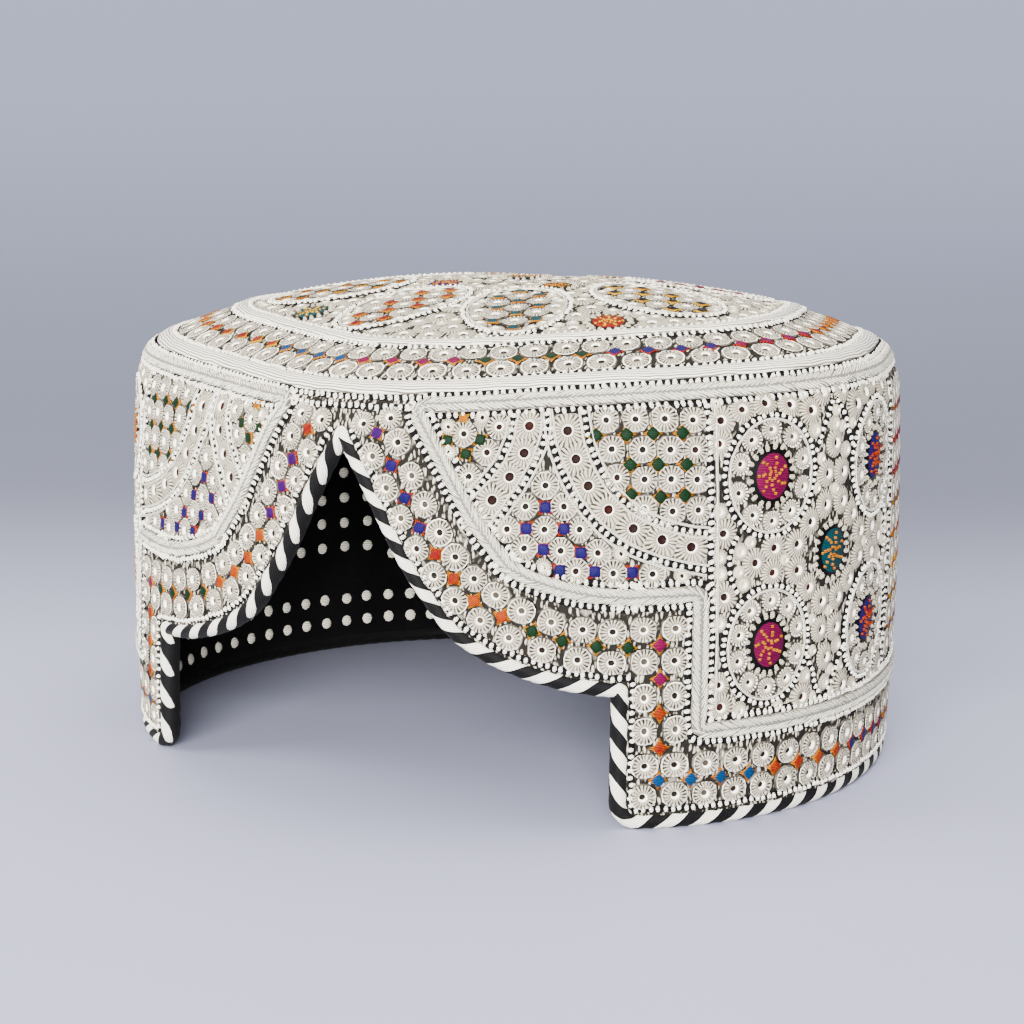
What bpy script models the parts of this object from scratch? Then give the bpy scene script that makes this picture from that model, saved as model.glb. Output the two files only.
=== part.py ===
"""An embroidered Sindhi cap: a stiff round cap with a low domed crown and an arch cut out of its front.

Lengths are metres and +Z is up. The origin is on the surface that the cap stands on, under the middle of
its length and width.
The arch faces -Y. Angles round the cap start at the front and grow towards +X.

The side is drawn on an unrolled sheet: "across" is the angle times CAP_RADIUS, "up" is the height.
Only the right half of a path is drawn, because the left half is its mirror image.
"""
import math

import bmesh
import bpy
from mathutils import Vector

# Main form. The plan is drawn round an axis that lies a little in front of the middle.
CAP_RADIUS = 0.0930
AXIS_FORWARD = 0.0048
SIDE_HEIGHT = 0.0980
CROWN_RISE = 0.0170
SHOULDER_RISE = 0.0080
SHOULDER_SHARE = 0.760

# How the soft top leans and sags, at the fold
LEAN_FRONT = 0.0010
LEAN_SIDE = 0.0023
SADDLE = -0.0028

# Cloth
SIDE_CLOTH = 0.0022
CROWN_CLOTH = 0.0022
LINING_CLOTH = 0.0010
GAP = 0.0003
FOLD_SOFTNESS = 0.0010

# Arch, measured to the middle of the rope that binds it
ARCH_HALF_WIDTH = 0.0675
ARCH_FOOT = 0.0316
ARCH_HEADROOM = 0.0090
RIM_CORNER_RADIUS = 0.0045

# Rope, cords and braid
BINDING_WIDTH = 0.0040
BINDING_THICKNESS = 0.0047
REST_FLAT = 0.00030
RIM_CORD_WIDTH = 0.0044
RIM_CORD_THICKNESS = 0.0026
CROWN_CORD_WIDTH = 0.0030
CROWN_CORD_THICKNESS = 0.0020
BRAID_WIDTH = 0.0034
BRAID_THICKNESS = 0.0014
LADDER_GAP = 0.0006

# The braid's distance in from the middle of the rope
BRAID_INSET_APEX = 0.0185
BRAID_INSET_FOOT = 0.0204
BRAID_INSET_UPRIGHT = 0.0171
BRAID_INSET_RIM = 0.0200

# Mesh density
STEP = 0.0080
BRAID_STEP = 0.0095
ARCH_STEPS = 16
CROWN_COLUMNS = 56
UPPER_ROWS = 4
LOWER_ROWS = 2

# Plan of the side at three heights, as shares of CAP_RADIUS: the mean, then the waves of one to five
# lobes that make it oval, flatten its front and dent its top. The last one fades out behind the ears.
PLAN = (
    # height, mean,  one,    two,    three,  four,   five
    (0.0, 0.985, 0.007, -0.052, -0.022, -0.013, 0.000),
    (0.5, 1.015, -0.020, -0.039, -0.022, -0.007, 0.020),
    (1.0, 0.999, -0.048, -0.036, -0.023, 0.000, 0.041),
)
DENTS_FULL = math.radians(80)
DENTS_GONE = math.radians(150)

# The arch's curve from its point to its foot, as shares of its half width and of its rise.
ARCH_CURVE = (
    # across, up
    (0.000, 1.000),
    (0.113, 0.785),
    (0.264, 0.475),
    (0.356, 0.330),
    (0.414, 0.245),
    (0.471, 0.190),
    (0.599, 0.110),
    (0.744, 0.052),
    (0.860, 0.020),
    (1.000, 0.000),
)

# Rows of the crown from the fold to the middle, as shares of its radius.
CROWN_ROWS = (0.9415, SHOULDER_SHARE, 0.55, 0.30)

HALF_ROUND = math.pi * CAP_RADIUS
WALL = SIDE_CLOTH + GAP + LINING_CLOTH
CUT_INSET = BINDING_WIDTH / 2 + GAP
RIM_UP = BINDING_WIDTH / 2 - REST_FLAT
ARCH_APEX = SIDE_HEIGHT - ARCH_HEADROOM
BRAID_TOP = SIDE_HEIGHT - LADDER_GAP - BRAID_WIDTH / 2


def wave_shares(height_share):
    """The plan's wave sizes at a height, on the parabola through the three rows of PLAN."""
    (low, *at_low), (mid, *at_mid), (top, *at_top) = PLAN
    s = height_share
    weight_low = (s - mid) * (s - top) / ((low - mid) * (low - top))
    weight_mid = (s - low) * (s - top) / ((mid - low) * (mid - top))
    weight_top = (s - low) * (s - mid) / ((top - low) * (top - mid))
    rows = zip(at_low, at_mid, at_top)
    return [a * weight_low + b * weight_mid + c * weight_top for a, b, c in rows]


def dent_share(angle):
    """How much of the front's five dents is left at an angle: all in front, none at the back."""
    turn = abs(math.remainder(angle, 2 * math.pi))
    t = max(0.0, min((turn - DENTS_FULL) / (DENTS_GONE - DENTS_FULL), 1.0))
    return 1 - t * t * (3 - 2 * t)


def plan_radius(angle, height_share):
    """Distance of the side's outer face from the axis."""
    *waves, dents = wave_shares(height_share)
    round_part = sum(size * math.cos(lobes * angle) for lobes, size in enumerate(waves))
    return CAP_RADIUS * (round_part + dents * dent_share(angle) * math.cos(len(waves) * angle))


def lift(angle):
    """How far the lean and the saddle raise the fold at an angle."""
    return LEAN_FRONT * math.cos(angle) + LEAN_SIDE * math.sin(angle) + SADDLE * math.cos(2 * angle)


def side_point(across, up):
    """A point of the side's outer face."""
    angle = across / CAP_RADIUS
    share = up / SIDE_HEIGHT
    radius = plan_radius(angle, share)
    height = up + lift(angle) * max(0.0, min(share, 1.0))
    return Vector((radius * math.sin(angle), -radius * math.cos(angle) - AXIS_FORWARD, height))


def crown_rise(share):
    """Height of the crown above the fold: a cone up to the shoulder, then a shallow bowl upside down."""
    if share > SHOULDER_SHARE:
        return SHOULDER_RISE * (1 - share) / (1 - SHOULDER_SHARE)
    return SHOULDER_RISE + (CROWN_RISE - SHOULDER_RISE) * (1 - (share / SHOULDER_SHARE) ** 2)


def crown_point(across, share):
    """A point of the crown's outer face, at a share of its radius."""
    angle = across / CAP_RADIUS
    radius = plan_radius(angle, 1.0) * share
    height = SIDE_HEIGHT + crown_rise(share) + lift(angle) * share
    return Vector((radius * math.sin(angle), -radius * math.cos(angle) - AXIS_FORWARD, height))


def outward(surface, across, along, step):
    """Unit normal of a surface. The step runs up the side, or from the fold to the middle of the crown."""
    nudge = 0.0002
    d_across = surface(across + nudge, along) - surface(across - nudge, along)
    d_along = surface(across, along + step) - surface(across, along - step)
    return d_across.cross(d_along).normalized()


def side_normal(across, up):
    return outward(side_point, across, up, 0.0002)


def crown_normal(across, share):
    return outward(crown_point, across, share, -0.002)


def arch_height(share):
    """Height share of the arch at a width share, smooth through the rows of ARCH_CURVE."""
    rows = ARCH_CURVE
    slopes = [(b[1] - a[1]) / (b[0] - a[0]) for a, b in zip(rows, rows[1:])]
    tangents = [slopes[0]] + [2 * a * b / (a + b) for a, b in zip(slopes, slopes[1:])] + [slopes[-1]]
    i = max(k for k in range(len(slopes)) if rows[k][0] <= share or k == 0)
    width = rows[i + 1][0] - rows[i][0]
    t = (share - rows[i][0]) / width
    rise = rows[i + 1][1] - rows[i][1]
    start, end = tangents[i] * width, tangents[i + 1] * width
    return rows[i][1] + start * t + (3 * rise - 2 * start - end) * t ** 2 + (start + end - 2 * rise) * t ** 3


def arch_path():
    """The middle of the rope from the arch's point to its foot, in even steps."""
    fine = [n / 400 for n in range(401)]
    rise = ARCH_APEX - ARCH_FOOT
    points = [(ARCH_HALF_WIDTH * x, ARCH_FOOT + rise * arch_height(x)) for x in fine]
    lengths = [0.0]
    for a, b in zip(points, points[1:]):
        lengths.append(lengths[-1] + math.dist(a, b))
    path = []
    for n in range(ARCH_STEPS + 1):
        wanted = lengths[-1] * n / ARCH_STEPS
        path.append(points[min(range(401), key=lambda k: abs(lengths[k] - wanted))])
    return path


def run(start, end, step):
    """Even points on a straight run, without its start."""
    count = max(1, round(math.dist(start, end) / step))
    return [(start[0] + (end[0] - start[0]) * n / count, start[1] + (end[1] - start[1]) * n / count)
            for n in range(1, count + 1)]


def binding_path():
    """Right half of the rope: the arch, the upright edge, the rounded corner and the rim to the back."""
    radius = RIM_CORNER_RADIUS
    centre = (ARCH_HALF_WIDTH + radius, RIM_UP + radius)
    path = arch_path()
    path += run(path[-1], (ARCH_HALF_WIDTH, centre[1]), STEP)
    for degrees in (22.5, 45, 67.5, 90):
        turn = math.radians(degrees)
        path.append((centre[0] - radius * math.cos(turn), centre[1] - radius * math.sin(turn)))
    return path + run(path[-1], (HALF_ROUND, RIM_UP), STEP)


def inset(path, distance):
    """The path moved into the cloth, with mitred corners. The mirrored half carries on past both ends."""
    moved = []
    for i, point in enumerate(path):
        before = path[i - 1] if i else (2 * point[0] - path[1][0], path[1][1])
        after = path[i + 1] if i + 1 < len(path) else (2 * point[0] - path[-2][0], path[-2][1])
        first = Vector((point[0] - before[0], point[1] - before[1])).normalized()
        second = Vector((after[0] - point[0], after[1] - point[1])).normalized()
        normal = Vector((-first.y, first.x))
        bisector = (normal + Vector((-second.y, second.x))).normalized()
        reach = distance / bisector.dot(normal)
        moved.append((point[0] + bisector.x * reach, point[1] + bisector.y * reach))
    return moved


def braid_path():
    """Right half of the braid: back to front along the top, down the arch, down the upright, along the rim."""
    upright = ARCH_HALF_WIDTH + BRAID_INSET_UPRIGHT
    rim = RIM_UP + BRAID_INSET_RIM
    foot = ARCH_FOOT + BRAID_INSET_FOOT
    path = arch_path()
    near, far = inset(path, BRAID_INSET_APEX), inset(path, BRAID_INSET_FOOT)
    arch = []
    for n, (a, b) in enumerate(zip(near, far)):
        share = n / ARCH_STEPS
        arch.append((a[0] + (b[0] - a[0]) * share, a[1] + (b[1] - a[1]) * share))
    arch = [point for point in arch if point[1] < BRAID_TOP - BRAID_WIDTH]
    first, second = arch[0], arch[1]
    slope = (first[0] - second[0]) / (first[1] - second[1])
    top_corner = (first[0] + slope * (BRAID_TOP - first[1]), BRAID_TOP)
    corners = [(upright, foot), (upright, rim), (HALF_ROUND, rim)]
    path = [(HALF_ROUND, BRAID_TOP)]
    path += run(path[0], top_corner, BRAID_STEP) + arch
    for corner in corners:
        path += run(path[-1], corner, BRAID_STEP)
    return path


def add_material(thing, colour, roughness):
    finish = bpy.data.materials.new(thing.name)
    finish.use_nodes = True
    shader = finish.node_tree.nodes["Principled BSDF"]
    shader.inputs["Base Color"].default_value = (*colour, 1.0)
    shader.inputs["Roughness"].default_value = roughness
    shader.inputs["Metallic"].default_value = 0.0
    thing.data.materials.append(finish)


def finish_object(name, form, colour, roughness):
    """Turn a bmesh into a smooth, coloured object."""
    mesh = bpy.data.meshes.new(name)
    form.to_mesh(mesh)
    form.free()
    mesh.shade_smooth()
    mesh.set_sharp_from_angle(angle=math.radians(50))
    thing = bpy.data.objects.new(name, mesh)
    bpy.context.scene.collection.objects.link(thing)
    add_material(thing, colour, roughness)
    return thing


def thicken(thing, thickness):
    """Give a sheet its thickness, inwards from its outer face."""
    wall = thing.modifiers.new("thickness", "SOLIDIFY")
    wall.thickness = thickness
    wall.offset = -1.0


def add_strip(form, lower, upper):
    """A row of faces between two rows of points. Facing out, the rows run to the right."""
    below = [form.verts.new(p) for p in lower]
    above = [form.verts.new(p) for p in upper]
    for i in range(len(lower) - 1):
        form.faces.new((below[i], below[i + 1], above[i + 1], above[i]))


def both_halves(half):
    """Sheet points of the whole round, from the left end of the mirrored half to the right."""
    return [(-across, up) for across, up in reversed(half)] + [p for p in half if p[0] > 0]


def cut_columns():
    """Right half of the side's cut: points over the arch, then the lower corner and the rim."""
    over_arch = inset(binding_path(), CUT_INSET)[:ARCH_STEPS + 1]
    edge = ARCH_HALF_WIDTH + CUT_INSET
    bottom = RIM_UP + CUT_INSET
    radius = RIM_CORNER_RADIUS - CUT_INSET
    corner = []
    for degrees in (0, 45, 90):
        turn = math.radians(degrees)
        corner.append((edge + radius * (1 - math.cos(turn)), bottom + radius * (1 - math.sin(turn))))
    rim = corner + run(corner[-1], (HALF_ROUND, bottom), STEP)
    return over_arch, rim


def side_sheet(depth, top):
    """The side as a sheet at a depth under its outer face, from the cut up to a height."""
    over_arch, rim = cut_columns()
    step_up = over_arch[-1][1]

    def place(across, up):
        return side_point(across, up) - side_normal(across, up) * depth

    form = bmesh.new()
    whole = both_halves(over_arch + [(across, step_up) for across, _ in rim[1:]])
    for n in range(UPPER_ROWS):
        low, high = n / UPPER_ROWS, (n + 1) / UPPER_ROWS
        add_strip(form, [place(a, z + (top - z) * low) for a, z in whole],
                  [place(a, z + (top - z) * high) for a, z in whole])
    for side in (1, -1):
        for n in range(LOWER_ROWS):
            low, high = n / LOWER_ROWS, (n + 1) / LOWER_ROWS
            lower = [place(side * a, z + (step_up - z) * low) for a, z in rim]
            upper = [place(side * a, z + (step_up - z) * high) for a, z in rim]
            add_strip(form, lower[::side], upper[::side])
    bmesh.ops.remove_doubles(form, verts=form.verts, dist=0.00001)
    return form


def crown_columns():
    return [HALF_ROUND * (2 * n / CROWN_COLUMNS - 1) for n in range(CROWN_COLUMNS + 1)]


def crown_sheet(edge_rows, depth):
    """A closed sheet from the given outer rows of points to the middle of the crown."""
    form = bmesh.new()
    columns = crown_columns()

    def place(across, share):
        return crown_point(across, share) - crown_normal(across, share) * depth

    rows = edge_rows + [[place(across, share) for across in columns] for share in CROWN_ROWS]
    for lower, upper in zip(rows, rows[1:]):
        add_strip(form, lower, upper)
    middle = form.verts.new((0.0, -AXIS_FORWARD, SIDE_HEIGHT + CROWN_RISE - depth))
    last = [form.verts.new(p) for p in rows[-1]]
    for i in range(CROWN_COLUMNS):
        form.faces.new((last[i], last[i + 1], middle))
    bmesh.ops.remove_doubles(form, verts=form.verts, dist=0.00001)
    return form


def sweep(stations, section):
    """A closed tube. A station is its middle, its half-width vector and its normal; a section point is
    a share of the half width and a height along the normal."""
    form = bmesh.new()
    rings = []
    for middle, half_width, normal in stations:
        rings.append([form.verts.new(middle + half_width * a + normal * b) for a, b in section])
    for ring, following in zip(rings, rings[1:] + rings[:1]):
        for i in range(len(section)):
            j = (i + 1) % len(section)
            form.faces.new((ring[i], following[i], following[j], ring[j]))
    bmesh.ops.recalc_face_normals(form, faces=form.faces)
    return form


def side_stations(path, width, depth):
    """Stations of both halves of a path on the side, its middle at a depth under the outer face."""
    outer, inner = inset(path, -width / 2), inset(path, width / 2)
    right = list(zip(path, outer, inner))
    left = [tuple((-across, up) for across, up in trio) for trio in reversed(right)]
    stations = []
    for point, low, high in right + left[1:-1]:
        normal = side_normal(*point)
        half_width = (side_point(*high) - side_point(*low)) / 2
        stations.append((side_point(*point) - normal * depth, half_width, normal))
    return stations


def crown_stations(share, width):
    """Stations of a ring on the crown."""
    half_share = width / 2 / CAP_RADIUS
    stations = []
    for across in crown_columns()[:-1]:
        reach = crown_point(across, share - half_share) - crown_point(across, share + half_share)
        stations.append((crown_point(across, share), reach / 2, crown_normal(across, share)))
    return stations


def cord_section(thickness):
    """Half-round section that lies a gap above the cloth."""
    low, shoulder, top = GAP, GAP + thickness * 0.6, GAP + thickness
    return ((-0.75, low), (-1.0, shoulder), (-0.5, top), (0.5, top), (1.0, shoulder), (0.75, low))


def make_side_band():
    form = side_sheet(0.0, BRAID_TOP - GAP / 2)
    thicken(finish_object("side_band", form, (0.80, 0.78, 0.74), 0.75), SIDE_CLOTH)


def make_crown():
    columns = crown_columns()
    soft_share = 1 - FOLD_SOFTNESS / CAP_RADIUS
    edge = [[side_point(across, BRAID_TOP + GAP / 2) for across in columns],
            [side_point(across, SIDE_HEIGHT - FOLD_SOFTNESS) for across in columns],
            [crown_point(across, soft_share) for across in columns]]
    form = crown_sheet(edge, 0.0)
    thicken(finish_object("crown", form, (0.80, 0.78, 0.74), 0.75), CROWN_CLOTH)


def lining_edge_share():
    """Share of the crown's radius at which its lining ends, over the top of the side's lining."""
    return 1 - (SIDE_CLOTH + 2 * GAP - CROWN_CLOTH * 0.25) / CAP_RADIUS


def make_crown_lining():
    depth = CROWN_CLOTH + GAP
    share = lining_edge_share()
    edge = [[crown_point(a, share) - crown_normal(a, share) * depth for a in crown_columns()]]
    form = crown_sheet(edge, depth)
    thicken(finish_object("crown_lining", form, (0.012, 0.012, 0.015), 0.9), LINING_CLOTH)


def make_side_lining():
    drop = (CROWN_CLOTH + 2 * GAP + LINING_CLOTH) / math.cos(math.atan2(SHOULDER_RISE, CAP_RADIUS / 4))
    top = SIDE_HEIGHT + crown_rise(lining_edge_share()) - drop
    form = side_sheet(SIDE_CLOTH + GAP, top)
    thicken(finish_object("side_lining", form, (0.012, 0.012, 0.015), 0.9), LINING_CLOTH)


def make_edge_binding():
    half = BINDING_THICKNESS / 2
    flat = half * 0.45
    section = ((-1.0, -flat), (0.0, -half), (1.0, -flat), (1.0, flat), (0.0, half), (-1.0, flat))
    form = sweep(side_stations(binding_path(), BINDING_WIDTH, WALL / 2), section)
    for corner in form.verts:
        corner.co.z = max(corner.co.z, 0.0)
    finish_object("edge_binding", form, (0.22, 0.21, 0.20), 0.6)


def make_frame_braid():
    low, top = GAP, GAP + BRAID_THICKNESS
    section = ((-1.0, low), (-0.6, top), (0.6, top), (1.0, low))
    form = sweep(side_stations(braid_path(), BRAID_WIDTH, 0.0), section)
    finish_object("frame_braid", form, (0.86, 0.85, 0.83), 0.45)


def make_rim_cord():
    share = 1 - (LADDER_GAP + RIM_CORD_WIDTH / 2) / CAP_RADIUS
    form = sweep(crown_stations(share, RIM_CORD_WIDTH), cord_section(RIM_CORD_THICKNESS))
    finish_object("rim_cord", form, (0.86, 0.85, 0.83), 0.45)


def make_crown_cord():
    form = sweep(crown_stations(SHOULDER_SHARE, CROWN_CORD_WIDTH), cord_section(CROWN_CORD_THICKNESS))
    finish_object("crown_cord", form, (0.86, 0.85, 0.83), 0.45)


def main():
    for thing in list(bpy.data.objects):
        bpy.data.objects.remove(thing, do_unlink=True)
    make_side_band()
    make_crown()
    make_side_lining()
    make_crown_lining()
    make_edge_binding()
    make_frame_braid()
    make_rim_cord()
    make_crown_cord()


main()
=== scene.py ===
"""The looks of an embroidered sindhi cap: cloth, rope, cords, braid, eyelets, stars and lining.

The cap is drawn on two flat sheets. The side's sheet is unrolled: "across" is the angle from the front
times the cap's radius, "up" is the height. The crown's sheet is its plan, with x to the right and y to the
back. Every stitched piece is drawn on a sheet and laid on the form from there. Lengths are metres.
"""
import logging
import math
from dataclasses import dataclass, field, replace
from enum import Enum
from typing import Callable, Iterable, Sequence

import bpy
import numpy as np
from mathutils import Matrix, Vector


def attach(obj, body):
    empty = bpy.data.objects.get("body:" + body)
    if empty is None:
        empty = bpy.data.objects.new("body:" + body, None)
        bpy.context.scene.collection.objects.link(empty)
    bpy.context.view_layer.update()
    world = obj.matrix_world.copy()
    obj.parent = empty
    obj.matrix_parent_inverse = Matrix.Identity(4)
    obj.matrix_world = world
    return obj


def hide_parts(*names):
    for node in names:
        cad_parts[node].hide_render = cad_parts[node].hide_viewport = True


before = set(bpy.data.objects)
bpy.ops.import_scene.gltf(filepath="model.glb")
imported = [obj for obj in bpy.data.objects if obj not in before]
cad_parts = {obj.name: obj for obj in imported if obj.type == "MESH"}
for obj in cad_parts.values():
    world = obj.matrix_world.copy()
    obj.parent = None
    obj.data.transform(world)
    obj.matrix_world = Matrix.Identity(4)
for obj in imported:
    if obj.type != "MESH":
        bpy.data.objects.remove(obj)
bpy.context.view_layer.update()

BODY = "root"
LOG = logging.getLogger("cap")
Array = np.ndarray
Pair = tuple[float, float]
Triple = tuple[float, float, float]
Colour = Triple
Socket = bpy.types.NodeSocket
Thing = bpy.types.Object
Material = bpy.types.Material
TURN = 2 * math.pi
WELD = 0.00001
LINE_STEP = 0.0012


def srgb(red: int, green: int, blue: int) -> Colour:
    """Turn a screen colour, each part 0 to 255, into the linear colour that shaders use."""
    return tuple(((c / 255 + 0.055) / 1.055) ** 2.4 if c > 10 else c / 3294 for c in (red, green, blue))


class Dye(Enum):
    """Silk colours of the stars, medallions and eyelet centres. SHADOW is painted shade: the near-black ring
    round every eyelet's outline; it also colours some hole floors.
    """

    MAGENTA = srgb(94, 0, 56)
    PURPLE = srgb(40, 0, 74)
    BLUE = srgb(4, 5, 72)
    TEAL = srgb(0, 56, 60)
    TURQUOISE = srgb(0, 58, 94)
    GREEN = srgb(1, 32, 7)
    RED = srgb(116, 0, 4)
    VERMILION = srgb(132, 16, 0)
    ORANGE = srgb(148, 78, 0)
    YELLOW = srgb(168, 114, 0)
    BROWN = srgb(18, 2, 1)
    GREY = srgb(50, 45, 39)
    BLACK = srgb(2, 2, 3)
    CREAM = srgb(180, 172, 150)
    SILK = srgb(222, 216, 197)
    WHITE = srgb(252, 246, 228)
    # Painted shade round the eyelets' outlines; also the floor of some holes.
    SHADOW = srgb(9, 7, 6)
    UMBER = srgb(14, 6, 4)
    RUST = srgb(30, 3, 1)


@dataclass(frozen=True)
class CapForm:
    """The outer face of the cap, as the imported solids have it."""

    radius: float = 0.0930
    axis_forward: float = 0.0048
    side_height: float = 0.0980
    crown_rise: float = 0.0170
    shoulder_rise: float = 0.0080
    shoulder_share: float = 0.760
    lean_front: float = 0.0010
    lean_side: float = 0.0023
    saddle: float = -0.0028
    dents_full: float = math.radians(80)
    dents_gone: float = math.radians(150)
    dent_lobes: int = 5
    side_cloth: float = 0.0022
    lining_cloth: float = 0.0010
    gap: float = 0.0003
    inner_fold: float = 0.75
    fold_drawn: float = 0.0036
    fold_sink: float = 0.0016
    fold_reach: Pair = (0.0120, 0.0110)
    plan: tuple = (
        (0.0, 0.985, 0.007, -0.052, -0.022, -0.013, 0.000),
        (0.5, 1.015, -0.020, -0.039, -0.022, -0.007, 0.020),
        (1.0, 0.999, -0.048, -0.036, -0.023, 0.000, 0.041),
    )

    @property
    def half_round(self) -> float:
        """Sheet distance from the front to the back."""
        return math.pi * self.radius

    @property
    def wall(self) -> float:
        """Thickness of the cloth and its lining together."""
        return self.side_cloth + self.gap + self.lining_cloth

    @property
    def lining_edge(self) -> float:
        """Share of the crown's radius at which the two linings meet."""
        return 1 - (self.side_cloth * self.inner_fold + 2 * self.gap) / self.radius

    def plan_radius(self, angle: Array, share: Array) -> Array:
        """Distance of the side's outer face from the axis.

        Args:
            angle: Angles from the front.
            share: Heights as shares of the side.
        Returns:
            The radii.
        """
        rows = np.array(self.plan)
        low, mid, top = rows[:, 0]
        weights = ((share - mid) * (share - top) / ((low - mid) * (low - top)),
                   (share - low) * (share - top) / ((mid - low) * (mid - top)),
                   (share - low) * (share - mid) / ((top - low) * (top - mid)))
        turn = np.abs((angle + math.pi) % TURN - math.pi)
        fade = np.clip((turn - self.dents_full) / (self.dents_gone - self.dents_full), 0, 1)
        dents = 1 - fade * fade * (3 - 2 * fade)
        total = np.zeros(np.broadcast(angle, share).shape)
        for lobes in range(rows.shape[1] - 1):
            size = sum(w * row[lobes + 1] for w, row in zip(weights, rows))
            total = total + size * np.cos(lobes * angle) * (dents if lobes == self.dent_lobes else 1.0)
        return self.radius * total - self.fold_drawn * self.fold(share, self.side_height, 0)

    def fold(self, share: Array, length: float, face: int) -> Array:
        """Squared share of the soft fold's reach, on the side (face 0) or on the crown (face 1)."""
        return np.clip(1 - (1 - share) * length / self.fold_reach[face], 0, 1) ** 2

    def lift(self, angle: Array) -> Array:
        """How far the lean and the saddle raise the fold at an angle."""
        return (self.lean_front * np.cos(angle) + self.lean_side * np.sin(angle)
                + self.saddle * np.cos(2 * angle))

    def rise(self, share: Array) -> Array:
        """Height of the crown above the fold at a share of its radius."""
        cone = self.shoulder_rise * (1 - share) / (1 - self.shoulder_share)
        bowl = 1 - (share / self.shoulder_share) ** 2
        dome = self.shoulder_rise + (self.crown_rise - self.shoulder_rise) * bowl
        return np.where(share > self.shoulder_share, cone, dome)


class Sheet:
    """One face of the cap, drawn flat."""

    def __init__(self, form: CapForm) -> None:
        """Keep the form that the sheet covers."""
        self.form = form

    def surface(self, a: Array, b: Array) -> Array:
        """Points of the face under sheet points."""
        raise NotImplementedError

    def step(self, a: Array, b: Array, right: Array, up: Array) -> tuple[Array, Array]:
        """Sheet point that lies a real distance to the right of and above another."""
        raise NotImplementedError

    def normal(self, a: Array, b: Array) -> Array:
        """Unit normals that point out of the cap."""
        nudge = 0.0002
        right = self.surface(a + nudge, b) - self.surface(a - nudge, b)
        up = self.surface(a, b + nudge) - self.surface(a, b - nudge)
        out = np.cross(right, up)
        return out / np.linalg.norm(out, axis=-1, keepdims=True)

    def place(self, a: Array, b: Array, out: Array | float = 0.0) -> Array:
        """Points at a height over the face.

        Args:
            a: First sheet coordinates.
            b: Second sheet coordinates.
            out: Heights over the outer face, less than zero inside the cap.
        Returns:
            Points in the cap's frame.
        """
        a, b = np.broadcast_arrays(np.asarray(a, float), np.asarray(b, float))
        out = np.broadcast_to(np.asarray(out, float), a.shape)
        return self.surface(a, b) + self.normal(a, b) * out[..., None]


class SideSheet(Sheet):
    """The unrolled side: across and up."""

    def surface(self, a: Array, b: Array) -> Array:
        """Points of the side's outer face."""
        form = self.form
        angle, share = a / form.radius, b / form.side_height
        reach = form.plan_radius(angle, share)
        height = b + np.clip(share, 0, 1) * form.lift(angle)
        height = height - form.fold_sink * form.fold(share, form.side_height, 0)
        return np.stack([reach * np.sin(angle), -reach * np.cos(angle) - form.axis_forward, height], -1)

    def step(self, a: Array, b: Array, right: Array, up: Array) -> tuple[Array, Array]:
        """Sheet point that lies a real distance to the right of and above another."""
        nudge = 0.0005
        stretch = np.linalg.norm(self.surface(a + nudge, b) - self.surface(a - nudge, b), axis=-1)
        return a + right * 2 * nudge / stretch, b + up


class CrownSheet(Sheet):
    """The plan of the crown: x and y from the cap's axis."""

    def surface(self, a: Array, b: Array) -> Array:
        """Points of the crown's outer face."""
        form = self.form
        angle = np.arctan2(a, -b)
        share = np.hypot(a, b) / form.plan_radius(angle, np.ones_like(angle))
        height = form.side_height + form.rise(share) + form.lift(angle) * share
        height = height - form.fold_sink * form.fold(share, form.radius, 1)
        return np.stack([a, b - form.axis_forward, height], -1)

    def step(self, a: Array, b: Array, right: Array, up: Array) -> tuple[Array, Array]:
        """Sheet point at a real distance, shortened down the slope."""
        reach = np.hypot(a, b) + 1e-9
        ea, eb = a / reach, b / reach
        nudge = 0.0005
        drop = self.surface(a + ea * nudge, b + eb * nudge)[..., 2]
        drop = (drop - self.surface(a - ea * nudge, b - eb * nudge)[..., 2]) / (2 * nudge)
        along = right * ea + up * eb
        shorter = along * (1 / np.sqrt(1 + drop ** 2) - 1)
        return a + right + shorter * ea, b + up + shorter * eb

    def ring(self, share: float, count: int) -> Array:
        """Even points on a ring round the crown, from the back to the right.

        Args:
            share: The ring's share of the crown's radius.
            count: Number of points.
        Returns:
            Sheet points, the first not repeated at the end.
        """
        angle = np.arange(count) * TURN / count - math.pi
        reach = self.form.plan_radius(angle, np.ones(count)) * share
        return np.stack([reach * np.sin(angle), -reach * np.cos(angle)], -1)


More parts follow.
